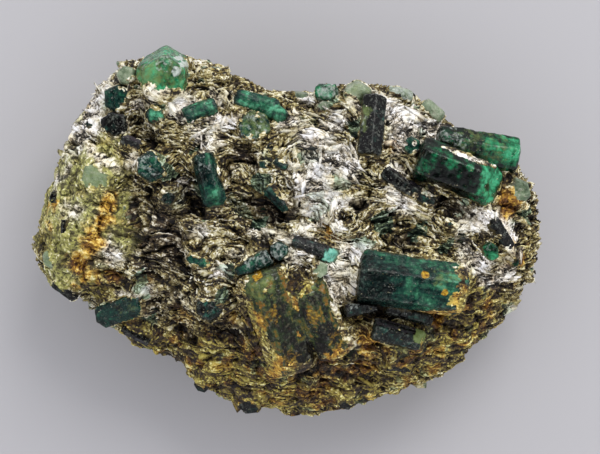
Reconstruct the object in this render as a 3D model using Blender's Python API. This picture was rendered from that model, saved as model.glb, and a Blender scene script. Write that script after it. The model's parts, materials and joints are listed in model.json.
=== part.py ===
"""Emerald in matrix: hexagonal emerald crystals set in a lump of layered mica schist.

The lump lies on a flat cleavage face. +Z is up, and the origin is at the middle of the box
that holds the specimen, on the surface that it lies on.
"""

import math
import random

import bmesh
import bpy
from mathutils import Matrix, Vector, noise

MM = 0.001

# Driving dimensions of the schist lump, in millimetres.
CROWN_HEIGHT = 29.0  # top of the lump over the surface that it lies on, before its mounds
GIRTH_HEIGHT = 13.0  # where the lump is widest
GIRTH_TILT = 0.07  # the widest line rises towards +Y by this much a millimetre
TOP_SQUARENESS = 2.6  # 2 is a dome, more is a flat top with a steep flank
SOUTH_SLOPE = 0.75  # how much softer the flank at -Y is
UNDERSIDE_DEPTH = 17.0  # how far the underside would bulge if it weren't cleaved flat
LUMP_SUBDIVISIONS = 5
LEDGE_PITCH = 3.4  # thickness of a schist layer that shows as a ledge
LEDGE_DEPTH = 0.9
ROUGHNESS = 1.0  # height of the lumps and pits
ROUGHNESS_WAVELENGTH = 5.5
POCKET_GAP = 0.3  # free space between a crystal and the schist round it

# Wear of the crystals, as shares of their width.
RIM_WEAR = 0.09  # how far the rims of the end faces are rounded off
SHARP_WIDTH = 2.75  # in millimetres: thinner crystals keep sharp rims
RIM_UNEVENNESS = 0.03  # how far a corner of an end face is out of its plane
CORNER_SPREAD = 0.06  # how unequal the corners of the hexagon are
BREAK_SET_BACK = 0.27  # how far a sloping break starts before the end of the prism

# Kinds of matter: base colour, roughness and transmission.
LOOKS = {
    "schist": ((0.23, 0.20, 0.11), 0.6, 0.0),
    "emerald_bright": ((0.01, 0.34, 0.16), 0.12, 0.6),
    "emerald_deep": ((0.015, 0.10, 0.065), 0.25, 0.4),
    "emerald_dark": ((0.02, 0.035, 0.03), 0.3, 0.2),
    "beryl_pale": ((0.20, 0.32, 0.17), 0.4, 0.3),
    "beryl_stained": ((0.13, 0.12, 0.03), 0.5, 0.1),
}

# The lump's widest line seen from above, as X, Y.
OUTLINE = (
    (-42.4, -3.1), (-42.1, 1.1), (-41.2, 5.3), (-39.6, 8.7), (-37.7, 14.6), (-34.3, 21.5),
    (-29.6, 26.8), (-23.1, 29.3), (-15.5, 28.5), (-9.6, 27.1), (-4.6, 24.2), (2.9, 23.5),
    (9.0, 24.6), (12.7, 24.9), (19.4, 23.9), (24.8, 20.9), (30.3, 15.5), (38.7, 11.2),
    (41.7, 6.0), (42.4, -2.8), (41.6, -6.6), (37.9, -12.6), (35.7, -16.3), (31.9, -20.2),
    (26.9, -24.9), (18.8, -27.1), (10.6, -30.0), (1.9, -31.3), (-2.9, -30.3), (-6.2, -31.0),
    (-9.6, -29.1), (-15.7, -25.6), (-20.8, -20.9), (-24.2, -19.5), (-31.3, -15.0),
    (-32.2, -12.8), (-35.3, -11.4), (-39.0, -9.4), (-41.6, -7.2),
)  # fmt: skip

# Mounds (+) and hollows (-) of the top face: X, Y, half-length, half-width, turn in degrees, height.
MOUNDS = (
    (28.0, 10.0, 9.0, 5.0, -15, 2.6),  # bed of the twin prisms
    (0.5, -12.0, 10.0, 8.5, -55, 4.2),  # stained crystal group
    (20.0, -7.5, 12.0, 4.5, -8, 2.4),  # bed of the great prism
    (-3.5, 4.0, 5.5, 2.6, -15, -4.2),  # dark hollow in the middle
    (-24.5, 16.5, 3.6, 3.2, 0, -2.6),
    (-26.0, 3.5, 2.2, 4.5, 0, -2.6),
    (4.0, 20.0, 3.0, 1.6, -10, -2.6),
    (25.5, 5.0, 5.0, 2.0, -18, -2.6),  # undercut below the twin prisms
    (19.0, -13.5, 6.0, 2.2, -12, -3.2),  # undercut below the great prism
    (-17.0, 5.0, 5.5, 2.8, 10, -2.2),
    (9.5, 1.2, 4.0, 2.8, 0, 1.3),  # folded knot of mica
    (5.0, 13.0, 9.0, 7.0, 0, 1.2),
    (-36.0, 2.5, 6.0, 8.0, 0, 1.6),  # smooth pale shoulder
    (-32.5, 9.0, 4.0, 3.6, -30, 1.5),
    (-28.0, -2.0, 2.0, 7.0, -12, -1.6),  # rusty crease
    (-14.0, -11.5, 5.0, 4.0, 0, 1.2),
)


def polar_outline():
    """The outline as (angle, radius), by rising angle."""
    return sorted((math.atan2(y, x), math.hypot(x, y)) for x, y in OUTLINE)


KNOTS = polar_outline()


def girth_radius(angle):
    """Distance from the middle to the outline, on a smooth curve through its points."""
    count = len(KNOTS)
    after = next((i for i, knot in enumerate(KNOTS) if knot[0] > angle), count)

    def knot(i):
        turns, index = divmod(i, count)
        return KNOTS[index][0] + turns * math.tau, KNOTS[index][1]

    (a0, r0), (a1, r1), (a2, r2), (a3, r3) = (knot(after + step) for step in (-2, -1, 0, 1))
    t = (angle - a1) / (a2 - a1)
    slope_1 = (r2 - r0) / (a2 - a0) * (a2 - a1)
    slope_2 = (r3 - r1) / (a3 - a1) * (a2 - a1)
    t2, t3 = t * t, t * t * t
    return (
        (2 * t3 - 3 * t2 + 1) * r1
        + (t3 - 2 * t2 + t) * slope_1
        + (3 * t2 - 2 * t3) * r2
        + (t3 - t2) * slope_2
    )


def mound_height(x, y):
    """Sum of the mounds and hollows at one place of the top face."""
    height = 0.0
    for mx, my, half_length, half_width, turn, rise in MOUNDS:
        dx, dy = x - mx, y - my
        c, s = math.cos(math.radians(turn)), math.sin(math.radians(turn))
        along, across = (dx * c + dy * s) / half_length, (dy * c - dx * s) / half_width
        height += rise * math.exp(-(along * along + across * across))
    return height


def top_height(x, y):
    """Height of the smooth top face over the surface that the lump lies on."""
    share = min(1.0, math.hypot(x, y) / girth_radius(math.atan2(y, x)))
    south = max(0.0, -y / math.hypot(x, y)) if x or y else 0.0
    power = TOP_SQUARENESS - SOUTH_SLOPE * south
    girth = GIRTH_HEIGHT + GIRTH_TILT * y
    dome = math.sqrt(max(0.0, 1 - share**power))
    return girth + (CROWN_HEIGHT - girth) * dome + mound_height(x, y) * min(1.0, 2 * dome)


def under_height(x, y):
    """Height of the rounded underside, below 0 where it's cleaved off flat."""
    share = min(1.0, math.hypot(x, y) / girth_radius(math.atan2(y, x)))
    girth = GIRTH_HEIGHT + GIRTH_TILT * y
    return girth - UNDERSIDE_DEPTH * math.sqrt(max(0.0, 1 - share**2.2))


def lump_point(direction):
    """Where a point of the unit sphere goes on the smooth lump, in millimetres."""
    angle = math.atan2(direction.y, direction.x)
    lift = abs(direction.z)
    share = math.sqrt(1 - lift) * (1 + lift) ** 0.25 if lift < 1 else 0.0
    radius = girth_radius(angle) * share
    x, y = radius * math.cos(angle), radius * math.sin(angle)
    return Vector((x, y, top_height(x, y) if direction.z >= 0 else under_height(x, y)))


def weathered(point, outward):
    """A point of the lump moved by its lumps and pits, and by the ledges of its layers on the flanks."""
    lumps = noise.fractal(point / ROUGHNESS_WAVELENGTH, 0.9, 2.2, 3) * ROUGHNESS
    bend = 2.0 * noise.noise(point / 16.0)
    layer = (point.z + bend) / LEDGE_PITCH
    ledge = (layer % 1.0 - 0.5) * 2 * LEDGE_DEPTH
    flank = 1 - abs(outward.z)
    return point + outward * lumps + Vector((outward.x, outward.y, 0)) * ledge * flank


def new_material(name, colour, roughness, transmission=0.0):
    material = bpy.data.materials.new(name)
    material.use_nodes = True
    shader = material.node_tree.nodes["Principled BSDF"]
    shader.inputs["Base Color"].default_value = (*colour, 1)
    shader.inputs["Roughness"].default_value = roughness
    shader.inputs["Metallic"].default_value = 0.0
    shader.inputs["Transmission Weight"].default_value = transmission
    shader.inputs["IOR"].default_value = 1.58
    return material


def new_object(name, mesh_builder, collection, material=None):
    mesh = bpy.data.meshes.new(name)
    mesh_builder.to_mesh(mesh)
    mesh_builder.free()
    obj = bpy.data.objects.new(name, mesh)
    collection.objects.link(obj)
    if material:
        mesh.materials.append(material)
    return obj


def make_lump(collection, material):
    """The schist: a ball moved onto the smooth lump, weathered, and cleaved flat at the bottom."""
    ball = bmesh.new()
    bmesh.ops.create_icosphere(ball, subdivisions=LUMP_SUBDIVISIONS, radius=1)
    for vertex in ball.verts:
        vertex.co = lump_point(vertex.co)
    ball.normal_update()
    moved = [weathered(vertex.co, vertex.normal) for vertex in ball.verts]
    for vertex, place in zip(ball.verts, moved):
        place.z = max(0.0, place.z)
        vertex.co = place * MM
    return new_object("schist_matrix", ball, collection, material)


class Crystal:
    """A hexagonal prism from start to end, the middles of its two end faces, in millimetres.

    roll turns the hexagon: at 0 an edge of the prism is on top, at 30 a face. flat squeezes it.
    cut slopes the end face to look up by that many degrees, and start_cut the other one.
    Prisms with the same group name grew together and make one solid.
    """

    def __init__(self, name, kind, start, end, width, roll=0.0, flat=1.0, cut=0.0, start_cut=0.0,
                 taper=0.96, group=None):  # fmt: skip
        self.name, self.kind, self.start, self.end = name, kind, start, end
        self.width, self.roll, self.flat, self.taper = width, roll, flat, taper
        self.cut, self.start_cut, self.group = cut, start_cut, group or name

    def frame(self):
        """Matrix from the prism's own axes to the specimen's: Z along it, Y as upright as can be."""
        along = (self.end - self.start).normalized()
        upright = Vector((0, 0, 1)) if abs(along.z) < 0.9 else Vector((0, 1, 0))
        across = upright.cross(along).normalized()
        turn = Matrix((across, along.cross(across), along)).transposed()
        return Matrix.Translation((self.start + self.end) / 2) @ turn.to_4x4()

    def mesh(self, gap=0.0):
        """The prism, grown by gap on every side, in millimetres."""
        half_length = (self.end - self.start).length / 2 + gap
        corner = (self.width / 2 + gap) / math.cos(math.pi / 6)
        prism = bmesh.new()
        bmesh.ops.create_cone(
            prism, cap_ends=True, segments=6, radius1=corner, radius2=corner * self.taper,
            depth=2 * half_length, matrix=Matrix.Rotation(math.radians(self.roll), 4, "Z"),
        )  # fmt: skip
        self.make_uneven(prism)
        self.slope_end(prism, half_length, self.cut, 1, gap)
        self.slope_end(prism, half_length, self.start_cut, -1, gap)
        if not gap:
            self.wear(prism)
        prism.transform(self.frame())
        return prism

    def make_uneven(self, prism):
        """Squeezes the hexagon and moves its corners in or out, the same along the whole prism."""
        rng = random.Random(self.name)
        spread = [1 + rng.uniform(-1, 1) * CORNER_SPREAD for _ in range(6)]
        for vertex in prism.verts:
            corner = round(math.degrees(math.atan2(vertex.co.y, vertex.co.x)) - self.roll) // 60 % 6
            vertex.co.x *= spread[corner]
            vertex.co.y *= spread[corner] * self.flat

    def slope_end(self, prism, half_length, angle, side, gap):
        """Breaks an end off at a slope, a little before the end face."""
        if not angle:
            return
        tilt = math.radians(angle)
        normal = Vector((0, math.sin(tilt), side * math.cos(tilt)))
        set_back = BREAK_SET_BACK * self.width * self.flat * math.tan(tilt)
        point = Vector((0, 0, side * (half_length - gap - set_back))) + normal * gap
        everything = prism.verts[:] + prism.edges[:] + prism.faces[:]
        cut = bmesh.ops.bisect_plane(
            prism, geom=everything, plane_co=point, plane_no=normal, clear_outer=True
        )
        rim = [item for item in cut["geom_cut"] if isinstance(item, bmesh.types.BMEdge)]
        bmesh.ops.contextual_create(prism, geom=rim)
        bmesh.ops.recalc_face_normals(prism, faces=prism.faces)

    def wear(self, prism):
        """Rounds off the rims of the end faces and makes the ends uneven."""
        if self.width < SHARP_WIDTH:
            return
        ends = [face for face in prism.faces if abs(face.normal.z) > 0.3]
        rims = list({edge for face in ends for edge in face.edges})
        bmesh.ops.bevel(
            prism, geom=rims, offset=self.width * RIM_WEAR, segments=1, affect="EDGES", profile=0.5,
            clamp_overlap=True,
        )  # fmt: skip
        rng = random.Random(self.name)
        for vertex in prism.verts:
            vertex.co.z += rng.uniform(-1, 1) * self.width * RIM_UNEVENNESS
        bmesh.ops.triangulate(prism, faces=prism.faces)

    def meets(self, other, gap):
        """Whether two prisms come so near that one would cut into the other."""
        a, b = sample_axis(self), sample_axis(other)
        nearest = min((p - q).length for p in a for q in b)
        return nearest < (self.width + other.width) * 0.6 + gap


def sample_axis(crystal, steps=12):
    return [crystal.start.lerp(crystal.end, step / steps) for step in range(steps + 1)]


def lying(name, kind, start, end, width, lift=(0.3, 0.3), **shape):
    """A prism that lies in the top face. start and end are X, Y, and lift is how far they are above it."""
    ends = [Vector((x, y, top_height(x, y) + up)) for (x, y), up in zip((start, end), lift)]
    return Crystal(name, kind, *ends, width, **shape)


def standing(name, kind, at, width, depth=4.0, lift=0.6, lean=(0.0, 0.0), **shape):
    """A prism that looks out of the top face with its end. lean is how far that end is off its root."""
    x, y = at
    top = Vector((x + lean[0] / 2, y + lean[1] / 2, top_height(x, y) + lift))
    root = Vector((x - lean[0] / 2, y - lean[1] / 2, top.z - depth))
    return Crystal(name, kind, root, top, width, **shape)


# Every crystal in the specimen: name, kind, where it is as X, Y, and its width across flats.
CRYSTALS = (
    lying("twin_prism_front", "emerald_bright", (21.2, 12.0), (34.9, 6.8), 7.0, (0.4, 1.8), roll=-19, cut=40),
    lying("twin_prism_back", "emerald_bright", (24.5, 14.2), (38.3, 12.3), 6.0, (0.2, 7.2), roll=-17, cut=10),
    lying("great_prism", "emerald_deep", (11.4, -6.9), (28.6, -9.4), 7.9, (-0.8, 1.6), roll=-16),
    lying("body_left", "beryl_stained", (-3.9, -5.9), (1.9, -23.8), 8.0, (-0.4, -0.2),
          roll=20, cut=25, group="stained_group"),
    lying("body_right", "beryl_stained", (2.4, -7.2), (8.3, -19.4), 6.4, (-0.5, 0.0),
          roll=8, start_cut=30, group="stained_group"),
    lying("apex_ridge", "emerald_deep", (-7.6, -6.9), (-2.6, -3.7), 2.9, (0.1, 0.4), roll=30),
    standing("apex_tip", "emerald_deep", (-1.1, -3.1), 2.9, depth=5.0, lift=1.2),
    lying("teal_end_prism", "emerald_dark", (1.0, -1.6), (8.3, -4.1), 2.6, (0.0, 0.4), cut=45),
    standing("grey_round_crystal", "beryl_pale", (5.4, -5.9), 2.5, lift=0.9),
    lying("violet_stub", "emerald_dark", (9.2, -12.6), (14.2, -11.7), 2.6, (0.4, 0.8), roll=-12),
    lying("south_black_prism", "emerald_dark", (16.0, -12.3), (23.6, -14.4), 2.3, (0.3, 0.6), roll=30),
    lying("south_prism", "emerald_dark", (13.8, -15.6), (22.9, -18.2), 3.6, (0.3, 1.0), roll=-14, cut=35),
    lying("south_east_chip", "emerald_dark", (16.6, -21.6), (20.2, -22.3), 2.2, roll=30),
    lying("hollow_prism", "emerald_deep", (-3.0, 7.1), (0.4, 3.7), 2.3, (0.6, 1.6), roll=10),
    lying("centre_prism", "emerald_deep", (-13.5, 12.4), (-11.2, 3.9), 3.6, (0.4, 1.6), roll=30, cut=35),
    lying("tall_prism", "emerald_dark", (14.3, 21.8), (13.2, 11.9), 4.0, (1.0, 0.4), roll=-6),
    lying("dark_prism", "emerald_dark", (15.3, 9.7), (23.6, 4.3), 2.8, (0.2, 0.4), roll=30),
    standing("teal_crystal_by_twins", "emerald_deep", (20.2, 13.9), 2.9, lift=0.8),
    standing("east_hexagon", "emerald_bright", (32.8, -3.0), 3.1, depth=5.0, lift=1.2, lean=(0.6, -0.8)),
    lying("east_blade", "emerald_dark", (33.0, 2.4), (36.4, -2.6), 2.4, (0.4, 0.6), start_cut=35),
    lying("east_chip", "emerald_deep", (25.4, 1.6), (27.4, 0.4), 1.6),
    standing("east_small", "emerald_bright", (37.3, -5.0), 1.8, lift=0.8),
    standing("east_knob", "beryl_pale", (38.0, 6.6), 4.2, lift=1.5, roll=12),
    lying("rim_blue_crystal", "beryl_pale", (22.4, 20.9), (25.6, 18.6), 2.8, (0.6, 0.6), roll=30),
    lying("rim_pale_crystal", "beryl_pale", (16.6, 23.0), (20.6, 22.3), 2.3, (0.8, 0.8), roll=30),
    standing("north_knob", "beryl_pale", (11.7, 22.3), 4.6, depth=6.0, lift=1.6, lean=(0, -1.0)),
    lying("north_block", "emerald_bright", (5.2, 22.9), (8.1, 22.8), 2.7, (1.4, 1.4), roll=30),
    standing("north_grey_crystal", "beryl_pale", (6.3, 20.0), 2.8, lift=0.8, roll=15),
    lying("north_blue_chip", "beryl_pale", (0.7, 22.2), (3.5, 22.1), 1.8, (0.6, 0.6), roll=30),
    lying("leaf_body", "emerald_deep", (-8.5, 21.7), (-1.2, 19.9), 3.2, (0.5, 0.6),
          roll=24, flat=0.8, group="leaf_group"),
    lying("leaf_tip", "emerald_bright", (-3.9, 20.6), (-0.1, 18.3), 3.0, (0.5, 0.9),
          roll=30, flat=0.8, group="leaf_group"),
    standing("north_round_crystal", "emerald_deep", (-5.2, 16.7), 5.2, depth=6.0, lift=1.2,
             lean=(0, 1.0), roll=12),
    standing("north_small_crystal", "emerald_dark", (-2.5, 13.0), 2.3, lift=0.5),
    lying("green_chip_west", "emerald_deep", (-3.8, 11.3), (-3.5, 9.4), 1.3),
    lying("green_chip_middle", "emerald_deep", (-1.9, 11.2), (0.1, 10.0), 1.6),
    standing("green_chip_east", "emerald_deep", (1.6, 8.6), 1.4),
    lying("rim_grey_chip", "beryl_pale", (-13.9, 26.4), (-9.9, 26.2), 1.7, (0.8, 0.6), roll=30),
    lying("teal_oblong", "emerald_deep", (-16.4, 18.5), (-11.4, 20.6), 2.9, (0.3, 0.4), roll=20),
    standing("crown", "emerald_bright", (-19.9, 25.6), 7.6, depth=11.0, lift=4.6, lean=(0.4, -3.2),
             group="crown_group"),
    standing("crown_side", "emerald_bright", (-23.0, 26.4), 3.6, depth=8.0, lift=3.4, lean=(0.2, -1.6),
             group="crown_group"),
    standing("crown_neighbour", "beryl_pale", (-26.2, 25.6), 3.2, depth=5.0, lift=2.0, roll=20),
    standing("shoulder_crystal", "emerald_deep", (-27.8, 22.0), 4.3, depth=6.0, lift=1.8, lean=(0.6, -0.8)),
    standing("black_knob", "emerald_dark", (-28.1, 17.4), 4.4, depth=6.0, lift=1.6, roll=10),
    standing("black_chip", "emerald_dark", (-32.2, 17.4), 1.9, lift=0.8, roll=10),
    standing("green_crystal_nw", "emerald_deep", (-21.1, 19.0), 3.4, lift=0.6, roll=20),
    lying("dark_block", "emerald_dark", (-26.6, 14.7), (-23.4, 13.4), 2.3, (0.4, 0.4), roll=30),
    standing("dark_round_crystal", "emerald_deep", (-21.8, 10.2), 4.6, depth=6.0, lift=1.0, lean=(0, 1.0)),
    standing("dark_small_crystal", "emerald_dark", (-19.1, 5.6), 3.1, lift=0.8, roll=20),
    standing("pale_diamond_crystal", "beryl_pale", (-30.7, 8.6), 5.0, depth=5.0, lift=0.7, roll=45),
    standing("pale_west_crystal", "beryl_pale", (-27.2, 2.7), 4.0, lift=0.7, roll=15),
    lying("violet_chip", "emerald_dark", (-35.9, 2.0), (-35.9, -0.8), 1.7, (0.2, 0.2), roll=30),
    standing("west_dark_chip", "emerald_dark", (-37.8, 5.4), 2.5, lift=0.6, roll=20),
    standing("west_green_crystal", "beryl_pale", (-38.6, -4.4), 3.4, lift=0.6, roll=10),
    lying("west_rim_dark_prism", "emerald_dark", (-38.3, -7.9), (-34.7, -10.6), 2.8, (0.0, 0.4), roll=20),
    lying("south_west_prism", "emerald_deep", (-30.8, -14.0), (-23.2, -11.5), 4.1, (3.0, -0.6), roll=16),
    lying("south_west_dark_prism", "emerald_dark", (-26.9, -15.3), (-22.4, -17.8), 3.0, (0.3, 0.3), roll=30),
    lying("dark_lens", "emerald_deep", (-15.6, -3.9), (-12.0, -5.6), 2.0, (0.3, 0.3), roll=30),
    standing("glossy_bulb", "emerald_dark", (-12.3, -12.3), 4.4, depth=6.0, lift=1.4, lean=(0, 1.2)),
    standing("south_knob_west", "emerald_dark", (-13.4, -24.6), 2.6, lift=-0.6, lean=(-2.0, -2.6)),
    standing("south_knob", "emerald_dark", (-6.0, -27.6), 3.8, lift=-0.8, lean=(-0.8, -3.0)),
    standing("south_knob_east", "emerald_dark", (9.6, -27.4), 2.8, lift=-0.6, lean=(0.8, -2.6)),
)  # fmt: skip


def make_crystal(name, members, collection, cutters, materials):
    """One node: its first prism, with the others that grew together with it joined on."""
    parts = []
    for index, crystal in enumerate(members):
        where = collection if index == 0 else cutters
        label = name if index == 0 else "joined_" + crystal.name
        parts.append(new_object(label, scaled(crystal.mesh()), where, materials[crystal.kind]))
    for part in parts[1:]:
        hide(part)
        add_boolean(parts[0], part, "UNION")
    return parts[0]


def scaled(mesh_builder):
    """Turns millimetres to Blender's metres."""
    for vertex in mesh_builder.verts:
        vertex.co *= MM
    return mesh_builder


def hide(helper):
    helper.hide_render = True
    helper.display_type = "WIRE"


def add_boolean(target, other, operation):
    modifier = target.modifiers.new(other.name, "BOOLEAN")
    modifier.object = other
    modifier.operation = operation
    modifier.solver = "EXACT"


def main():
    for old in list(bpy.data.objects):
        bpy.data.objects.remove(old)
    specimen = bpy.data.collections.new("emerald_in_matrix")
    cutters = bpy.data.collections.new("pockets")
    for collection in (specimen, cutters):
        bpy.context.scene.collection.children.link(collection)
    cutters.hide_render = True
    materials = {name: new_material(name, *look) for name, look in LOOKS.items()}
    lump = make_lump(specimen, materials["schist"])
    groups = {}
    for crystal in CRYSTALS:
        groups.setdefault(crystal.group, []).append(crystal)
    pockets = []
    for name, members in groups.items():
        node = make_crystal(name, members, specimen, cutters, materials)
        for neighbour, pocket in pockets:
            if any(neighbour.meets(crystal, POCKET_GAP) for crystal in members):
                add_boolean(node, pocket, "DIFFERENCE")
        for crystal in members:
            pocket = new_object("pocket_" + crystal.name, scaled(crystal.mesh(POCKET_GAP)), cutters)
            hide(pocket)
            add_boolean(lump, pocket, "DIFFERENCE")
            pockets.append((crystal, pocket))


main()
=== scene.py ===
"""Looks of the emerald in matrix: mica schist with thin plates of mica on it, and emerald prisms.

Places along the specimen are in millimetres in the row frame: +X right, +Y up in the photograph,
+Z to the camera, with 0 on the surface that the specimen lies on.
"""

import json
import math
import random

import bpy
import numpy as np
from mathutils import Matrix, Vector, noise
from mathutils.bvhtree import BVHTree

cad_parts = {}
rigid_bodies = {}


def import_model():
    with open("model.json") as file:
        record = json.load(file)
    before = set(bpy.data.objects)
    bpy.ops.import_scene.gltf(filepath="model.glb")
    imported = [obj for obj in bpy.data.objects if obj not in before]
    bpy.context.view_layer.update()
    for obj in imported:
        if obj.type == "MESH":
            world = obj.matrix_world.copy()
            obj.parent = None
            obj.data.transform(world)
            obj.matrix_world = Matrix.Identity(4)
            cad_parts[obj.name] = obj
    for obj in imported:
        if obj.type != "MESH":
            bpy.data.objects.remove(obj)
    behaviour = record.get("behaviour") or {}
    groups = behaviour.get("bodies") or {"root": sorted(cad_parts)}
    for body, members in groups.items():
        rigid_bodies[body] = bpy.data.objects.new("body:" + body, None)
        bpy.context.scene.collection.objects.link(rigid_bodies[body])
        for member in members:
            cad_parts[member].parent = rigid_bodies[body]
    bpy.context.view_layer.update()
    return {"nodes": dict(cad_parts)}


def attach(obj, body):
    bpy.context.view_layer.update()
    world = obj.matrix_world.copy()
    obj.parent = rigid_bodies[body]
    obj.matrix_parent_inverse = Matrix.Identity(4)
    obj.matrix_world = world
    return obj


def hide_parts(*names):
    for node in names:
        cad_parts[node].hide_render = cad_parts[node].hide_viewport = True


MM = 0.001
MATRIX = "schist_matrix"

# Camera of the photograph: straight down, 100 mm lens.
CAMERA_PLACE = (2.2, 0.76, 295.6)
CAMERA_LENS = 100.0
CAMERA_SENSOR = 36.0

# The schist's own mesh.
VOXEL = 0.34
SMOOTHING_STEPS = 26
RIM_REACH = 1.25  # how far from a crystal the schist is drawn in to close the pocket's gap
POCKET_GAP = 0.3
CLOSED_GAP = 0.03
HIDDEN_SHARE = 0.12  # share of the faces kept where nothing is seen: underside and pockets

# Its layers, and the sheets of mica in them.
LAYER_PITCH = 0.95
LAYER_TURN = 12.0  # how far they run down to the right, in degrees
LAYER_RELIEF = 0.35
SHEET_LENGTH = 2.3
SHEET_LAYERS = 0.85
SHEET_RELIEF = 0.55
GROOVE_DEPTH = 0.32
GRAIN_RELIEF = 0.22
LUMP_RELIEF = 1.5
CREASE_DEPTH = 0.8
HOLLOW_DEPTH = 1.1
CRYSTAL_WRAP = 1.6  # how far the layers bend round a crystal
WRAP_REACH = 1.5
KNOT_X, KNOT_Y = 9.5, 1.2  # the knot that the layers bend round in the middle of the top
KNOT_LIFT = 4.2
KNOT_REACH = 2.6
COLLAR_HEIGHT = 0.55  # how far the schist climbs up a crystal's side
COLLAR_REACH = 0.9

# Mica on the schist: ribbons are the edges of steep layers, and plates are loose flakes.
RIBBONS = 900
RIBBON_STEPS = 20
RIBBON_STEP = 0.27
PLATE_CORNERS = 7
PLATES = 3200

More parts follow.
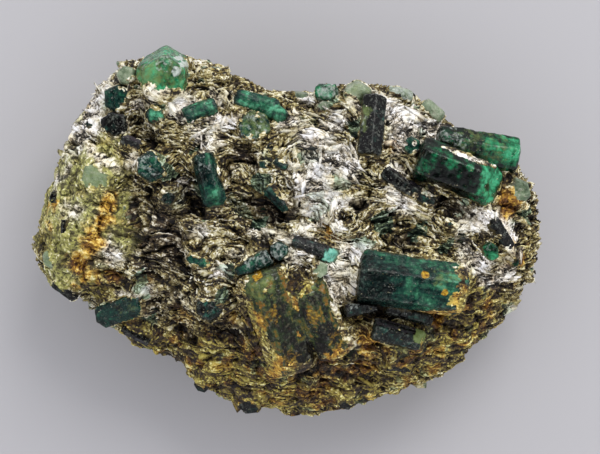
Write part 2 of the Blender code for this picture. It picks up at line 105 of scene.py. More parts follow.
# Where the schist differs from its usual olive mica, by kind: X, Y, half-length, half-width, turn and
# strength of each place.
ZONES = {
    "talc": (
        (-36.0, 3.0, 6.5, 10.5, 0, 1.0), (-31.0, 10.5, 5.0, 5.0, 0, 0.9), (-27.3, 1.5, 3.2, 5.5, 0, 0.95),
        (-37.5, -7.0, 4.5, 4.0, 0, 0.8), (-29.0, 14.8, 3.0, 2.5, 0, 0.7),
        (-34.5, 18.0, 4.0, 8.0, -38, 0.75), (-30.0, -5.5, 3.5, 4.0, 0, 0.5),
    ),
    "rust": (
        (-30.9, -1.2, 1.7, 4.2, -14, 1.0), (-30.0, 1.5, 2.0, 1.6, 0, 0.9),
        (-34.0, -5.0, 1.9, 1.6, 20, 1.0), (-38.3, 4.3, 1.2, 1.2, 0, 0.9),
        (-29.4, 4.6, 1.3, 2.6, -10, 0.9), (-33.2, -7.2, 2.4, 1.0, 10, 0.8),
        (-28.4, -7.8, 1.4, 1.2, 0, 0.7), (-38.9, 0.8, 0.9, 1.4, 0, 0.6), (6.2, -0.4, 0.8, 0.8, 0, 0.9),
        (36.8, 5.2, 2.0, 3.0, -20, 1.0), (38.6, -4.6, 1.0, 2.0, 0, 0.6),
        (-0.4, -20.8, 1.4, 4.5, -35, 0.8), (14.0, -18.0, 2.0, 4.0, -10, 0.7),
        (23.5, -14.0, 2.4, 1.6, 0, 0.9), (33.0, -12.0, 1.2, 3.0, 15, 0.6), (2.0, -27.5, 8.0, 2.0, 0, 0.5),
        (-10.5, -22.5, 3.0, 1.2, -25, 0.5), (17.4, 13.8, 1.5, 0.7, 10, 0.6),
        (-2.8, -14.2, 1.2, 2.6, 30, 1.0), (2.6, -15.0, 4.2, 1.0, -72, 1.0),
        (7.6, -18.0, 1.6, 2.6, 15, 0.9), (4.6, -12.6, 1.2, 0.9, 0, 0.9),
    ),
    # Silvery mica, painted lighter: partly its own colour and partly painted glare.
    "silver": (
        (5.5, 12.4, 4.0, 5.4, 20, 0.9), (9.5, 10.0, 2.2, 2.6, 0, 0.8), (4.6, 7.4, 4.5, 3.0, -15, 1.0),
        (2.0, -2.2, 3.6, 1.4, -15, 0.9), (7.4, -6.6, 2.4, 2.6, 0, 0.9), (29.6, 11.7, 4.8, 0.7, -20, 1.0),
        (-21.0, 22.0, 3.0, 1.4, 10, 0.7), (15.5, 19.5, 5.5, 3.0, -12, 0.9),
        (19.5, 15.5, 4.0, 3.0, -20, 0.8), (8.0, 5.4, 8.0, 1.6, -4, 0.6), (18.0, 6.0, 2.0, 3.0, 0, 0.7),
        (18.5, 4.0, 3.5, 1.0, -30, 0.7), (33.0, 2.0, 5.5, 2.4, -15, 0.85), (36.5, -1.2, 1.8, 3.5, 0, 0.8),
        (31.0, -5.0, 3.0, 1.6, -15, 0.9), (28.5, 0.0, 2.5, 3.0, 0, 0.6), (34.0, -8.0, 3.0, 1.5, -40, 0.6),
        (-17.0, 20.3, 2.6, 1.8, 30, 0.8), (-13.5, 15.2, 3.0, 2.0, -35, 0.7),
        (-12.2, 22.5, 1.8, 1.6, 0, 0.6), (9.5, -7.6, 1.6, 3.4, 0, 0.9), (3.6, 0.6, 2.0, 0.9, -20, 0.8),
        (-14.5, 0.0, 2.0, 1.2, 20, 0.6), (-3.2, 0.2, 3.0, 1.0, 0, 0.7), (-28.4, -4.0, 2.6, 3.2, 0, 0.65),
        (-35.2, 3.4, 2.4, 2.8, 20, 0.65), (-37.4, 8.6, 1.6, 2.6, -15, 0.6),
        (-29.8, 11.8, 3.4, 1.5, -42, 0.95), (-32.6, 18.8, 9.0, 2.8, 59, 0.85),
        (-24.0, 21.0, 1.6, 0.8, -20, 0.8), (-27.4, 17.4, 2.0, 1.5, 30, 0.75),
        (19.0, 20.2, 4.0, 1.2, -25, 0.9), (-16.5, 7.5, 1.2, 1.0, 0, 0.7),
        (-16.5, -11.5, 2.0, 1.6, 0, 0.6), (-25.0, -9.4, 3.2, 0.6, 8, 0.9),
        (10.8, -18.0, 1.4, 1.6, 0, 0.5), (37.5, -13.0, 0.8, 1.6, 20, 0.5), (11.1, -3.0, 2.6, 2.0, 0, 1.0),
        (24.0, 17.0, 2.8, 1.8, -40, 0.9), (7.6, 0.6, 2.0, 1.4, 0, 0.6), (-10.2, 17.9, 2.4, 1.8, 0, 0.85),
        (-10.2, 21.6, 2.6, 1.4, 0, 0.6), (35.9, -7.2, 1.8, 2.0, 0, 0.7), (14.4, 22.0, 1.6, 1.4, 0, 0.8),
        (0.6, -3.0, 2.6, 1.8, -20, 0.85), (3.8, 3.9, 2.6, 1.6, -10, 0.95),
        (28.8, -3.4, 2.0, 1.6, 0, 0.85), (-10.4, -7.0, 2.6, 1.5, -20, 0.65),
        (-7.4, -3.4, 2.4, 1.4, 15, 0.6), (3.4, 21.6, 2.2, 1.2, 0, 0.75), (0.6, 17.4, 2.0, 2.0, 0, 0.8),
        (-24.6, 11.6, 1.8, 1.6, 0, 0.7), (7.2, -10.2, 1.8, 2.0, 0, 0.8), (7.8, 17.9, 2.4, 2.0, 0, 0.8),
        (-14.6, 17.2, 1.6, 1.2, 0, 0.6), (18.2, 10.4, 2.4, 1.6, -20, 0.75),
    ),
    "dark": (
        (-20.5, -1.5, 5.5, 9.0, 0, 0.75), (-22.0, 15.5, 2.6, 2.6, 0, 0.5), (-14.0, 6.0, 6.0, 3.5, 0, 0.6),
        (-7.5, 11.6, 4.5, 2.0, -10, 0.7), (-2.6, 3.6, 3.8, 2.2, -20, 1.0), (-24.6, 3.2, 0.9, 3.0, 0, 1.0),
        (25.0, 4.8, 6.0, 1.5, -22, 0.75), (19.0, -1.6, 5.0, 1.5, -8, 0.6),
        (18.5, -12.4, 6.5, 2.0, -10, 1.0), (-21.5, -12.5, 3.5, 3.0, 0, 0.6),
        (-11.0, -16.0, 5.0, 2.6, -10, 0.7), (5.5, -22.6, 5.0, 3.6, 0, 0.8),
        (11.5, -23.0, 3.5, 3.0, 0, 0.7), (-19.0, -22.0, 3.0, 3.0, -30, 0.7),
        (-17.0, -17.0, 3.6, 2.4, -35, 0.7), (28.0, -15.5, 3.0, 2.0, 0, 0.6),
        (11.5, 4.6, 3.0, 1.0, 0, 0.5), (12.5, 7.0, 2.2, 1.6, 0, 0.5), (-34.0, -4.8, 0.8, 0.7, 0, 1.0),
    ),
    "mustard": (
        (0.0, -25.0, 26.0, 7.0, 0, 1.0), (26.0, -17.0, 12.0, 7.0, 38, 1.0),
        (-4.5, -14.0, 4.5, 5.0, 0, 0.9), (-14.0, -20.0, 6.0, 6.0, -30, 0.9),
        (-27.0, -7.4, 6.0, 2.4, 0, 0.5), (38.0, -4.0, 3.0, 6.0, 0, 0.6),
        (-22.0, -19.0, 8.0, 4.0, -30, 0.9), (12.0, -14.5, 3.0, 3.0, 0, 0.6),
        (31.0, -11.0, 5.0, 4.0, 20, 0.9), (2.0, -15.0, 9.0, 5.0, -65, 1.0),
        (-32.0, -8.5, 8.0, 2.5, -20, 0.8), (-36.5, -2.5, 2.0, 4.0, 0, 0.6),
    ),
}
ZONE_KINDS = ("talc", "rust", "silver", "dark", "mustard")

# Colours of the mica from its darkest to its lightest plates, as (share, linear colour).
TONES = {
    "olive": (
        (0.00, (0.006, 0.004, 0.003)),
        (0.22, (0.036, 0.024, 0.013)),
        (0.42, (0.200, 0.147, 0.048)),
        (0.60, (0.450, 0.390, 0.175)),
        (0.78, (0.790, 0.745, 0.560)),
        (1.00, (0.960, 0.940, 0.850)),
    ),
    "talc": (
        (0.00, (0.080, 0.070, 0.030)),
        (0.22, (0.230, 0.220, 0.085)),
        (0.45, (0.345, 0.348, 0.098)),
        (0.70, (0.560, 0.540, 0.225)),
        (1.00, (0.930, 0.910, 0.740)),
    ),
    "rust": (
        (0.00, (0.030, 0.010, 0.003)),
        (0.30, (0.150, 0.058, 0.009)),
        (0.60, (0.500, 0.280, 0.036)),
        (0.80, (0.780, 0.540, 0.110)),
        (1.00, (0.900, 0.720, 0.300)),
    ),
    # Silvery mica: its lightest tones are partly painted glare.
    "silver": (
        (0.00, (0.012, 0.010, 0.010)),
        (0.20, (0.090, 0.080, 0.070)),
        (0.36, (0.420, 0.370, 0.285)),
        (0.54, (0.790, 0.745, 0.680)),
        (0.72, (0.950, 0.930, 0.920)),
        (1.00, (0.980, 0.975, 0.980)),
    ),
    "dark": (
        (0.00, (0.003, 0.002, 0.002)),
        (0.40, (0.020, 0.013, 0.009)),
        (0.62, (0.080, 0.052, 0.027)),
        (0.80, (0.280, 0.225, 0.130)),
        (1.00, (0.750, 0.710, 0.600)),
    ),
    "mustard": (
        (0.00, (0.010, 0.006, 0.005)),
        (0.25, (0.058, 0.038, 0.018)),
        (0.50, (0.230, 0.178, 0.036)),
        (0.75, (0.520, 0.450, 0.110)),
        (1.00, (0.880, 0.820, 0.420)),
    ),
}

EDGE_WEAR_STEPS = 5
ROUNDED = {  # further steps of wear for the lumps with few flat faces left
    "crown_group": 22,
    "crown_neighbour": 30,
    "leaf_group": 25,
    "north_round_crystal": 40,
    "north_knob": 40,
    "north_grey_crystal": 30,
    "green_crystal_nw": 25,
    "rim_pale_crystal": 30,
    "rim_blue_crystal": 20,
    "pale_west_crystal": 30,
    "west_green_crystal": 30,
    "pale_diamond_crystal": 15,
    "stained_group": 12,
}

# Marks on each crystal: kind, X, Y, radius, strength. Bright marks are partly painted glow, and pale marks
# partly painted highlights.
SPOTS = {
    "teal_end_prism": (
        ("bright", 7.6, -4.0, 1.8, 1.7),
    ),
    "twin_prism_front": (
        ("bright", 33.5, 7.4, 3.4, 0.85), ("bright", 26.5, 9.8, 1.0, 0.7), ("black", 32.4, 7.2, 0.7, 0.8),
        ("black", 25.5, 7.4, 3.6, 0.7), ("black", 30.5, 9.9, 0.7, 0.9), ("black", 30.1, 8.4, 0.7, 0.9),
        ("black", 29.9, 6.9, 0.7, 0.9), ("black", 29.5, 8.6, 2.0, 0.5), ("bright", 29.3, 10.2, 0.9, 0.8),
        ("bright", 27.6, 9.0, 0.8, 0.8),
    ),
    "twin_prism_back": (
        ("pale", 37.4, 12.6, 1.3, 0.4), ("bright", 34.0, 13.4, 2.5, 0.3), ("pale", 26.4, 14.2, 3.0, 0.5),
        ("moss", 31.0, 13.0, 6.0, 0.5), ("bright", 36.4, 13.2, 2.4, 0.8),
    ),
    "great_prism": (
        ("stain", 22.0, -6.7, 0.7, 0.9), ("stain", 25.1, -9.6, 0.6, 0.9),
        ("stain", 28.5, -12.0, 2.0, 0.7), ("bright", 26.0, -8.0, 2.2, 0.45),
        ("bright", 22.5, -12.0, 2.0, 0.35), ("black", 13.5, -8.6, 4.0, 0.8),
        ("moss", 25.5, -7.5, 2.6, 0.5),
    ),
    "stained_group": (
        ("stain", -4.6, -7.0, 0.9, 1.0), ("stain", -2.6, -13.6, 2.0, 0.55),
        ("stain", 4.4, -13.4, 1.5, 0.6), ("stain", 0.5, -20.0, 2.0, 0.5), ("stain", 8.0, -17.6, 2.0, 0.5),
        ("pale", -3.0, -8.0, 3.0, 0.35), ("pale", 3.6, -9.0, 2.4, 0.35), ("black", 3.4, -9.4, 2.2, 0.3),
        ("black", 6.4, -16.0, 1.8, 0.6), ("black", 1.5, -14.5, 3.6, 0.3), ("black", 4.0, -20.0, 3.0, 0.7),
        ("moss", -4.2, -8.0, 3.6, 0.6), ("moss", 2.4, -9.0, 3.0, 0.6),
    ),
    "leaf_group": (
        ("bright", -4.4, 20.6, 4.2, 0.75), ("bright", -1.6, 19.2, 2.0, 1.0),
    ),
    "north_block": (
        ("pale", 6.6, 22.8, 2.6, 0.6), ("bright", 6.2, 22.7, 3.0, 0.6),
    ),
    "north_knob": (
        ("bright", 11.4, 22.6, 2.4, 0.5), ("moss", 11.4, 22.6, 3.0, 0.6),
    ),
    "teal_oblong": (
        ("bright", -13.4, 19.8, 2.4, 0.5),
    ),
    "green_crystal_nw": (
        ("bright", -20.8, 19.2, 1.8, 0.7),
    ),
    "crown_group": (
        ("bright", -19.4, 26.0, 7.0, 0.8), ("pale", -19.4, 25.6, 7.0, 0.26),
        ("pale", -19.6, 27.8, 2.4, 0.45), ("bright", -20.5, 25.8, 3.0, 0.3),
        ("pale", -17.7, 28.3, 0.7, 1.2), ("pale", -16.8, 27.3, 0.7, 1.2),
        ("pale", -17.9, 25.9, 1.0, 0.75), ("moss", -19.4, 25.6, 8.0, 0.55),
        ("moss", -22.0, 25.4, 2.6, 0.75),
    ),
    "north_round_crystal": (
        ("pale", -5.4, 16.6, 3.0, 0.45), ("bright", -6.6, 16.2, 2.4, 0.5),
        ("bright", -5.0, 14.9, 1.4, 0.5), ("moss", -4.6, 17.4, 3.0, 0.6),
    ),
    "centre_prism": (
        ("bright", -11.4, 5.6, 2.0, 0.3), ("black", -13.6, 9.6, 1.8, 0.4),
        ("pale", -13.4, 11.0, 2.0, 0.38),
    ),
    "east_hexagon": (
        ("pale", 32.8, -2.0, 1.4, 0.4),
    ),
    "violet_stub": (
        ("pale", 10.4, -10.6, 1.8, 0.6), ("pale", 12.6, -10.0, 1.4, 0.4),
    ),
    "tall_prism": (
        ("moss", 12.3, 19.6, 1.8, 0.55), ("moss", 12.1, 17.0, 1.7, 0.55), ("pale", 12.2, 18.0, 1.8, 0.45),
        ("pale", 11.9, 14.6, 1.6, 0.3),
    ),
    "pale_diamond_crystal": (
        ("moss", -31.0, 7.0, 6.0, 0.7),
    ),
    "pale_west_crystal": (
        ("moss", -37.0, 0.0, 12.0, 0.7),
    ),
    "west_green_crystal": (
        ("moss", -38.0, -4.0, 8.0, 0.6),
    ),
    "rim_pale_crystal": (
        ("pale", 18.6, 22.6, 4.0, 0.6),
    ),
    "crown_neighbour": (
        ("moss", -24.0, 23.0, 3.0, 0.6),
    ),
    "south_prism": (
        ("moss", 21.9, -17.2, 1.6, 1.0), ("pale", 21.9, -17.2, 1.4, 0.25),
    ),
    "apex_ridge": (
        ("pale", -4.6, -3.6, 3.2, 0.5),
    ),
    "apex_tip": (
        ("pale", -2.6, -2.8, 3.0, 0.5),
    ),
    "dark_round_crystal": (
        ("pale", -22.4, 10.8, 2.6, 0.45),
    ),
    "south_west_prism": (
        ("moss", -25.0, -12.5, 4.0, 0.4),
    ),
    "south_black_prism": (
        ("pale", 19.4, -13.0, 1.1, 0.5),
    ),
}
BARE = ("twin_prism_front", "twin_prism_back", "teal_end_prism", "violet_stub", "south_black_prism",
        "tall_prism", "centre_prism", "east_hexagon", "apex_ridge", "apex_tip", "north_block", "leaf_group",
        "teal_oblong", "east_small", "great_prism")  # fmt: skip
CLEAR = ("crown_group", "leaf_group", "teal_oblong", "north_block", "crown_neighbour", "south_west_prism")
SPOT_KINDS = ("bright", "pale", "black", "moss", "stain")

# Schist that covers parts of each crystal: X, Y, half-length, half-width, turn.
CRUST = 0.22  # its usual thickness
CRUST_REACH = 0.85  # how far it climbs from a crystal's foot
CRUSTS = {
    "crown_group": (
        (-22.6, 22.0, 2.6, 1.6, 10), (-19.2, 21.6, 3.0, 1.4, 0),
    ),
    "twin_prism_front": (
        (29.6, 11.9, 4.4, 0.45, -20),
    ),
    "great_prism": (
        (29.2, -11.6, 2.6, 3.4, 10), (28.8, -6.6, 2.4, 1.2, -20), (24.6, -13.4, 3.0, 0.8, -8),
        (12.4, -13.0, 1.2, 0.8, 0),
    ),
    "stained_group": (
        (-7.4, -9.0, 0.7, 3.0, -25), (-4.8, -13.8, 0.7, 4.0, 25), (-2.6, -20.6, 1.6, 3.5, 25),
        (1.2, -10.6, 0.5, 2.2, 20), (9.2, -15.4, 0.8, 4.0, 22), (3.0, -22.6, 3.5, 1.6, 15),
        (8.0, -20.6, 2.5, 1.6, 15), (0.6, -6.0, 1.8, 0.8, 10),
    ),
    "dark_prism": (
        (13.5, -18.5, 2.6, 1.0, -10),
    ),
    "south_west_prism": (
        (-24.5, -9.5, 2.6, 0.6, 8),
    ),
}


def points_of(mesh):
    """The mesh's vertices as an array in millimetres."""
    flat = np.empty(len(mesh.vertices) * 3, np.float32)
    mesh.vertices.foreach_get("co", flat)
    return flat.reshape(-1, 3).astype(float) / MM


def put_points(mesh, points):
    mesh.vertices.foreach_set("co", (points * MM).astype(np.float32).ravel())
    mesh.update()


def triangles_of(mesh):
    mesh.calc_loop_triangles()
    flat = np.empty(len(mesh.loop_triangles) * 3, np.int32)
    mesh.loop_triangles.foreach_get("vertices", flat)
    return flat.reshape(-1, 3)


def normals_of(mesh):
    flat = np.empty(len(mesh.vertices) * 3, np.float32)
    mesh.vertices.foreach_get("normal", flat)
    return flat.reshape(-1, 3).astype(float)


def put_values(mesh, name, values):
    """A number at each vertex, which the materials read by name."""
    layer = mesh.attributes.get(name) or mesh.attributes.new(name, "FLOAT", "POINT")
    layer.data.foreach_set("value", np.asarray(values, np.float32))


def smoothstep(low, high, value):
    share = np.clip((value - low) / (high - low), 0.0, 1.0)
    return share * share * (3 - 2 * share)


def rumple(points, wavelength, seed, octaves=1):
    """Perlin noise at each point, from -1 to 1. wavelength is one length or one for each axis."""
    scaled = points / np.asarray(wavelength, float) + seed * np.array((17.3, 5.7, 11.9))
    if octaves == 1:
        return np.array([noise.noise(Vector(p)) for p in scaled])
    return np.array([noise.fractal(Vector(p), 0.8, 2.1, octaves) for p in scaled])


class Crystals:
    """All the crystals as one surface, to measure how far a place is from the nearest one."""

    def __init__(self, nodes):
        corners, faces = [], []
        for name, obj in nodes.items():
            if name == MATRIX:
                continue
            start = len(corners)
            corners.extend(Vector(p) for p in points_of(obj.data))
            faces.extend([int(i) + start for i in face] for face in triangles_of(obj.data))
        self.tree = BVHTree.FromPolygons(corners, faces)

    def nearest(self, points, reach):
        """(nearest places, their distances), with the distance set to reach where none is that near."""
        places, distances = points.copy(), np.full(len(points), reach)
        for i, point in enumerate(points):
            place, _, _, distance = self.tree.find_nearest(Vector(point), reach)
            if place is not None:
                places[i] = place
                distances[i] = distance
        return places, distances


def layer_number(points, crystals):
    """Which layer of the folded schist each point is in.

    The layers lie flat, crumpled, and bend round the crystals and round one knot between them.
    """
    _, distance = crystals.nearest(points, 3 * WRAP_REACH)
    wrap = CRYSTAL_WRAP * np.exp(-((distance / WRAP_REACH) ** 2))
    knot = np.hypot(points[:, 0] - KNOT_X, points[:, 1] - KNOT_Y)
    ring = KNOT_LIFT * np.exp(-((knot / KNOT_REACH) ** 2))
    return plain_layer(points) + (wrap + ring) / LAYER_PITCH


def place_in(points, x, y, half_length, half_width, turn):
    """Where each point is along and across a turned ellipse, in its half-lengths and half-widths."""
    c, s = math.cos(math.radians(turn)), math.sin(math.radians(turn))
    dx, dy = points[:, 0] - x, points[:, 1] - y
    return (dx * c + dy * s) / half_length, (dy * c - dx * s) / half_width


def zone_weights(points):
    """How far each kind of schist shows at each point, from 0 to 1, with ragged borders."""
    warped = points[:, :2].copy()
    warped[:, 0] += 1.3 * rumple(points, 4.0, 5) + 0.6 * rumple(points, 1.3, 6)
    warped[:, 1] += 1.3 * rumple(points, 4.0, 7) + 0.6 * rumple(points, 1.3, 8)
    mottle = 0.24 * rumple(points, 2.2, 9) + 0.16 * rumple(points, 0.8, 10)
    weights = {kind: np.zeros(len(points)) for kind in ZONE_KINDS}
    for kind, zones in ZONES.items():
        for *ellipse, strength in zones:
            along, across = place_in(warped, *ellipse)
            share = strength * np.exp(-0.7 * (along**2 + across**2))
            weights[kind] = np.maximum(weights[kind], share)
    weights = {kind: smoothstep(0.25, 0.75, share + mottle) for kind, share in weights.items()}
    stained = smoothstep(0.15, 0.50, rumple(points, 3.2, 14, 3))
    seeping = 0.75 * weights["mustard"] + 0.3 * weights["talc"]
    weights["rust"] = np.maximum(weights["rust"], stained * seeping)
    weights["rust"] = np.minimum(weights["rust"], 1.0)
    return weights


def add_modifier(obj, kind, **settings):
    modifier = obj.modifiers.new(kind.lower(), kind)
    for key, value in settings.items():
        setattr(modifier, key, value)
    return modifier


def bake_modifiers(obj):
    """Puts what the modifiers make into the object's own mesh."""
    graph = bpy.context.evaluated_depsgraph_get()
    made = bpy.data.meshes.new_from_object(obj.evaluated_get(graph))
    obj.modifiers.clear()
    old, obj.data = obj.data, made
    bpy.data.meshes.remove(old)


def edges_of(mesh):
    flat = np.empty(len(mesh.edges) * 2, np.int32)
    mesh.edges.foreach_get("vertices", flat)
    return flat.reshape(-1, 2)


def smooth(points, edges, weight, steps):
    """Moves each point toward the middle of its neighbours, again and again."""
    count = np.bincount(edges.ravel(), minlength=len(points))[:, None]
    for _ in range(steps):
        total = np.zeros_like(points)
        for axis in range(3):
            total[:, axis] += np.bincount(edges[:, 0], points[edges[:, 1], axis], len(points))
            total[:, axis] += np.bincount(edges[:, 1], points[edges[:, 0], axis], len(points))
        points = points + weight[:, None] * 0.5 * (total / np.maximum(count, 1) - points)
    return points


def sheets(points, layer):
    """(own height of the sheet of mica, groove beside it) at each point, both from 0 to 1."""
    at = np.stack([points[:, 0] / SHEET_LENGTH, points[:, 1] / SHEET_LENGTH, layer / SHEET_LAYERS], 1)
    own, groove = np.empty(len(at)), np.empty(len(at))
    for i, place in enumerate(at):
        away, middles = noise.voronoi(Vector(place))
        own[i] = math.sin(12.9898 * middles[0].x + 78.233 * middles[0].y + 37.7 * middles[0].z) * 43758.5 % 1
        groove[i] = away[1] - away[0]
    return own, 1 - smoothstep(0.02, 0.30, groove)


def plain_layer(points):
    """The layers without their bends round the crystals."""
    turn = math.radians(LAYER_TURN)
    level = points[:, 1] * math.cos(turn) + points[:, 0] * math.sin(turn)
    fold = 3.2 * rumple(points, (15.0, 8.0, 12.0), 1) + 0.9 * rumple(points, (6.0, 3.2, 5.0), 2)
    crumple = 0.22 * rumple(points, (2.6, 1.6, 2.2), 3)
    return (0.9 * level + 0.5 * points[:, 2] + fold + crumple) / LAYER_PITCH


class Surface:
    """The schist's surface, with what grows on it: points, triangles, layers and kinds of mica."""

    def __init__(self, points, triangles, crystals):
        self.points, self.triangles = points, triangles
        self.layer = layer_number(points, crystals)
        step = 0.15
        slopes = [
            (layer_number(points + step * np.eye(3)[axis], crystals) - self.layer) / step
            for axis in range(3)
        ]
        self.foliation = unit(np.stack(slopes, axis=1))
        self.weights = zone_weights(points)
        _, self.distance = crystals.nearest(points, RIM_REACH)

    def raise_by(self, lift):
        """Moves the points and works out the faces' own normals and areas."""
        self.points = self.points + lift
        self.points[:, 2] = np.maximum(self.points[:, 2], 0.0)
        a, b, c = (self.points[self.triangles[:, i]] for i in range(3))
        cross = np.cross(b - a, c - a)
        self.areas = np.linalg.norm(cross, axis=1)
        self.normals = unit(cross)

    def of_faces(self, values):
        return values[self.triangles].mean(axis=1)

    def sample(self, wanted, count, rng):
        """(places, faces) of count random points on the faces, more where wanted is high."""
        chance = self.areas * wanted
        picked = rng.choice(len(self.triangles), count, p=chance / chance.sum())
        u, v = rng.random(count), rng.random(count)
        over = u + v > 1
        u[over], v[over] = 1 - u[over], 1 - v[over]
        a, b, c = (self.points[self.triangles[picked, i]] for i in range(3))
        return a + (b - a) * u[:, None] + (c - a) * v[:, None], picked


def make_schist(node, crystals):
    """The fine surface of the schist: the CAD lump remeshed, drawn in to the crystals and roughened."""
    mesh = node.data.copy()
    schist = bpy.data.objects.new("schist", mesh)
    bpy.context.scene.collection.objects.link(schist)
    add_modifier(schist, "REMESH", mode="VOXEL", voxel_size=VOXEL * MM)
    add_modifier(schist, "TRIANGULATE")
    bake_modifiers(schist)
    mesh = schist.data
    points, edges = points_of(mesh), edges_of(mesh)
    on_floor = points[:, 2] < VOXEL
    _, distance = crystals.nearest(points, RIM_REACH)
    free = smoothstep(POCKET_GAP + 0.1, RIM_REACH, distance)
    points = smooth(points, edges, np.where(on_floor, 0.0, free), SMOOTHING_STEPS)
    put_points(mesh, points)

    hidden = (points[:, 2] < 2.0) | (distance < POCKET_GAP + 0.12)
    group = schist.vertex_groups.new(name="hidden")
    group.add([int(i) for i in np.nonzero(hidden)[0]], 1.0, "REPLACE")
    share = float(hidden.mean())
    add_modifier(schist, "DECIMATE", ratio=1 - share * (1 - HIDDEN_SHARE), vertex_group="hidden",
                 vertex_group_factor=1000.0)  # fmt: skip
    bake_modifiers(schist)
    mesh = schist.data
    points, normals = points_of(mesh), normals_of(mesh)

    places, distance = crystals.nearest(points, RIM_REACH)
    drawn = RIM_REACH - (RIM_REACH - distance) * (RIM_REACH - CLOSED_GAP) / (RIM_REACH - POCKET_GAP)
    near = distance < RIM_REACH
    share = np.where(near, 1 - np.maximum(drawn, CLOSED_GAP) / np.maximum(distance, 1e-6), 0.0)
    points += (places - points) * share[:, None]

    surface = Surface(points, triangles_of(mesh), crystals)
    weights = surface.weights
    inside = surface.layer - np.floor(surface.layer)
    lip = inside**1.6
    sheet, groove = sheets(points, surface.layer)
    flaky = 1 - np.maximum(0.85 * weights["talc"], 0.40 * weights["mustard"])
    worn = 1 - 0.5 * np.maximum.reduce([weights[kind] for kind in ("talc", "mustard", "silver")])
    grain = rumple(points, 1.4, 11, 3)
    parting = rumple(points, (6.4, 3.8, 4.2), 12, 2)
    lump = np.abs(parting) ** 0.7
    crease = np.exp(-((parting / 0.07) ** 2))
    room = smoothstep(0.0, 0.9, surface.distance) * smoothstep(0.0, 1.6, points[:, 2])
    flaky *= 1 - 0.35 * weights["silver"]
    lift = flaky * (LAYER_RELIEF * (lip - 0.55) + SHEET_RELIEF * (sheet - 0.5) - GROOVE_DEPTH * groove)
    lift += GRAIN_RELIEF * grain * (0.55 + 0.45 * flaky) * (1 - 0.7 * weights["silver"])
    lift += worn * (LUMP_RELIEF * (lump - 0.45) - CREASE_DEPTH * crease) - HOLLOW_DEPTH * weights["dark"]
    collar = np.exp(-((surface.distance / COLLAR_REACH) ** 2)) * (surface.distance > 2 * CLOSED_GAP)
    lift = lift * room + COLLAR_HEIGHT * collar * smoothstep(0.0, 3.0, points[:, 2])
    surface.raise_by(normals * lift[:, None])
    places, distance = crystals.nearest(surface.points, COLLAR_REACH)
    pull = 0.75 * (1 - smoothstep(0.1, COLLAR_REACH, distance)) * (distance > 2 * CLOSED_GAP)
    surface.raise_by((places - surface.points) * pull[:, None])
    put_points(mesh, surface.points)
    # Tone is darker in the grooves between sheets, in the creases and in the low ground between lumps, and
    # lighter on top of the lumps: painted shade.
    tone = 0.47 + 0.12 * (lip - 0.5) + 0.30 * (sheet - 0.5) - 0.25 * groove + 0.16 * grain
    put_values(mesh, "tone", np.clip(tone + worn * (0.25 * (lump - 0.45) - 0.35 * crease), 0, 1))
    put_values(mesh, "layer", surface.layer)
    for kind, share in weights.items():
        put_values(mesh, kind, share)
    return schist, surface


def unit(vectors):
    return vectors / np.maximum(np.linalg.norm(vectors, axis=-1), 1e-9)[..., None]


def make_plates(name, material, surface, wanted, rng):
    """Thin plates of mica, each a flat closed lens with a ragged outline, as one mesh."""
    count, corners = PLATES, PLATE_CORNERS
    places, faces = surface.sample(wanted, count, rng)
    normals = surface.normals[faces]
    weights = {kind: surface.of_faces(share)[faces] for kind, share in surface.weights.items()}
    flat = unit(surface.of_faces(surface.foliation)[faces])
    flat *= np.sign(np.sum(flat * normals, axis=1))[:, None]
    lying = 0.45 + 0.5 * weights["silver"]
    facing = unit(
        flat * (1 - lying)[:, None] + normals * lying[:, None] + rng.normal(0, 0.16, (count, 3))
    )
    along = unit(np.cross(normals, flat) + rng.normal(0, 0.22, (count, 3)))
    along = unit(along - facing * np.sum(along * facing, axis=1)[:, None])
    across = np.cross(facing, along)
    size = 0.17 * (rng.pareto(2.0, count) + 1) * (1 + 1.2 * weights["silver"])
    size = np.minimum(size, 1.3)
    long_side = size * (1.5 + 0.5 * weights["silver"])
    short_side = size * (0.75 - 0.35 * weights["silver"])
    thick = 0.02 + 0.04 * size

    turns = (np.arange(corners) + rng.uniform(-0.3, 0.3, (count, corners))) * math.tau / corners
    turns += rng.uniform(0, math.tau, (count, 1))
    reach = rng.uniform(0.65, 1.15, (count, corners))
    curl = rng.normal(0, 0.10, (count, corners)) * size[:, None]
    rim = (
        places[:, None]
        + along[:, None] * (np.cos(turns) * reach * long_side[:, None])[..., None]
        + across[:, None] * (np.sin(turns) * reach * short_side[:, None])[..., None]
        + facing[:, None] * curl[..., None]
    )
    lift = rng.uniform(-0.06, 0.10, count)
    top = places + facing * thick[:, None]
    bottom = places - facing * thick[:, None]
    points = np.concatenate([rim, top[:, None], bottom[:, None]], axis=1)
    points += (normals * lift[:, None])[:, None]
    each = corners + 2
    points = points.reshape(-1, 3)
    points[:, 2] = np.maximum(points[:, 2], 0.02)
    start = (np.arange(count) * each)[:, None]
    ring, after = np.arange(corners)[None], (np.arange(corners) + 1)[None] % corners
    upper = np.stack([start + ring, start + after, np.repeat(start + corners, corners, 1)], axis=2)
    lower = np.stack([start + after, start + ring, np.repeat(start + corners + 1, corners, 1)], axis=2)
    plates = new_mesh_object(
        name, points, np.concatenate([upper.reshape(-1, 3), lower.reshape(-1, 3)]), material
    )
    # Tone differs at random, with painted shade: plates that sit lower are a little darker, higher ones a
    # little lighter.
    tone = np.clip(0.15 + 0.75 * rng.beta(1.3, 1.1, count) + 0.6 * lift, 0, 1)
    put_values(plates.data, "tone", np.repeat(tone, each))
    middle = surface.of_faces(surface.layer)[faces]
    bend = np.concatenate([np.sin(turns) * 0.5, np.zeros((count, 2))], axis=1)
    put_values(plates.data, "layer", (middle[:, None] + bend).ravel())
    for kind, share in weights.items():
        put_values(plates.data, kind, np.repeat(share, each))
    return plates


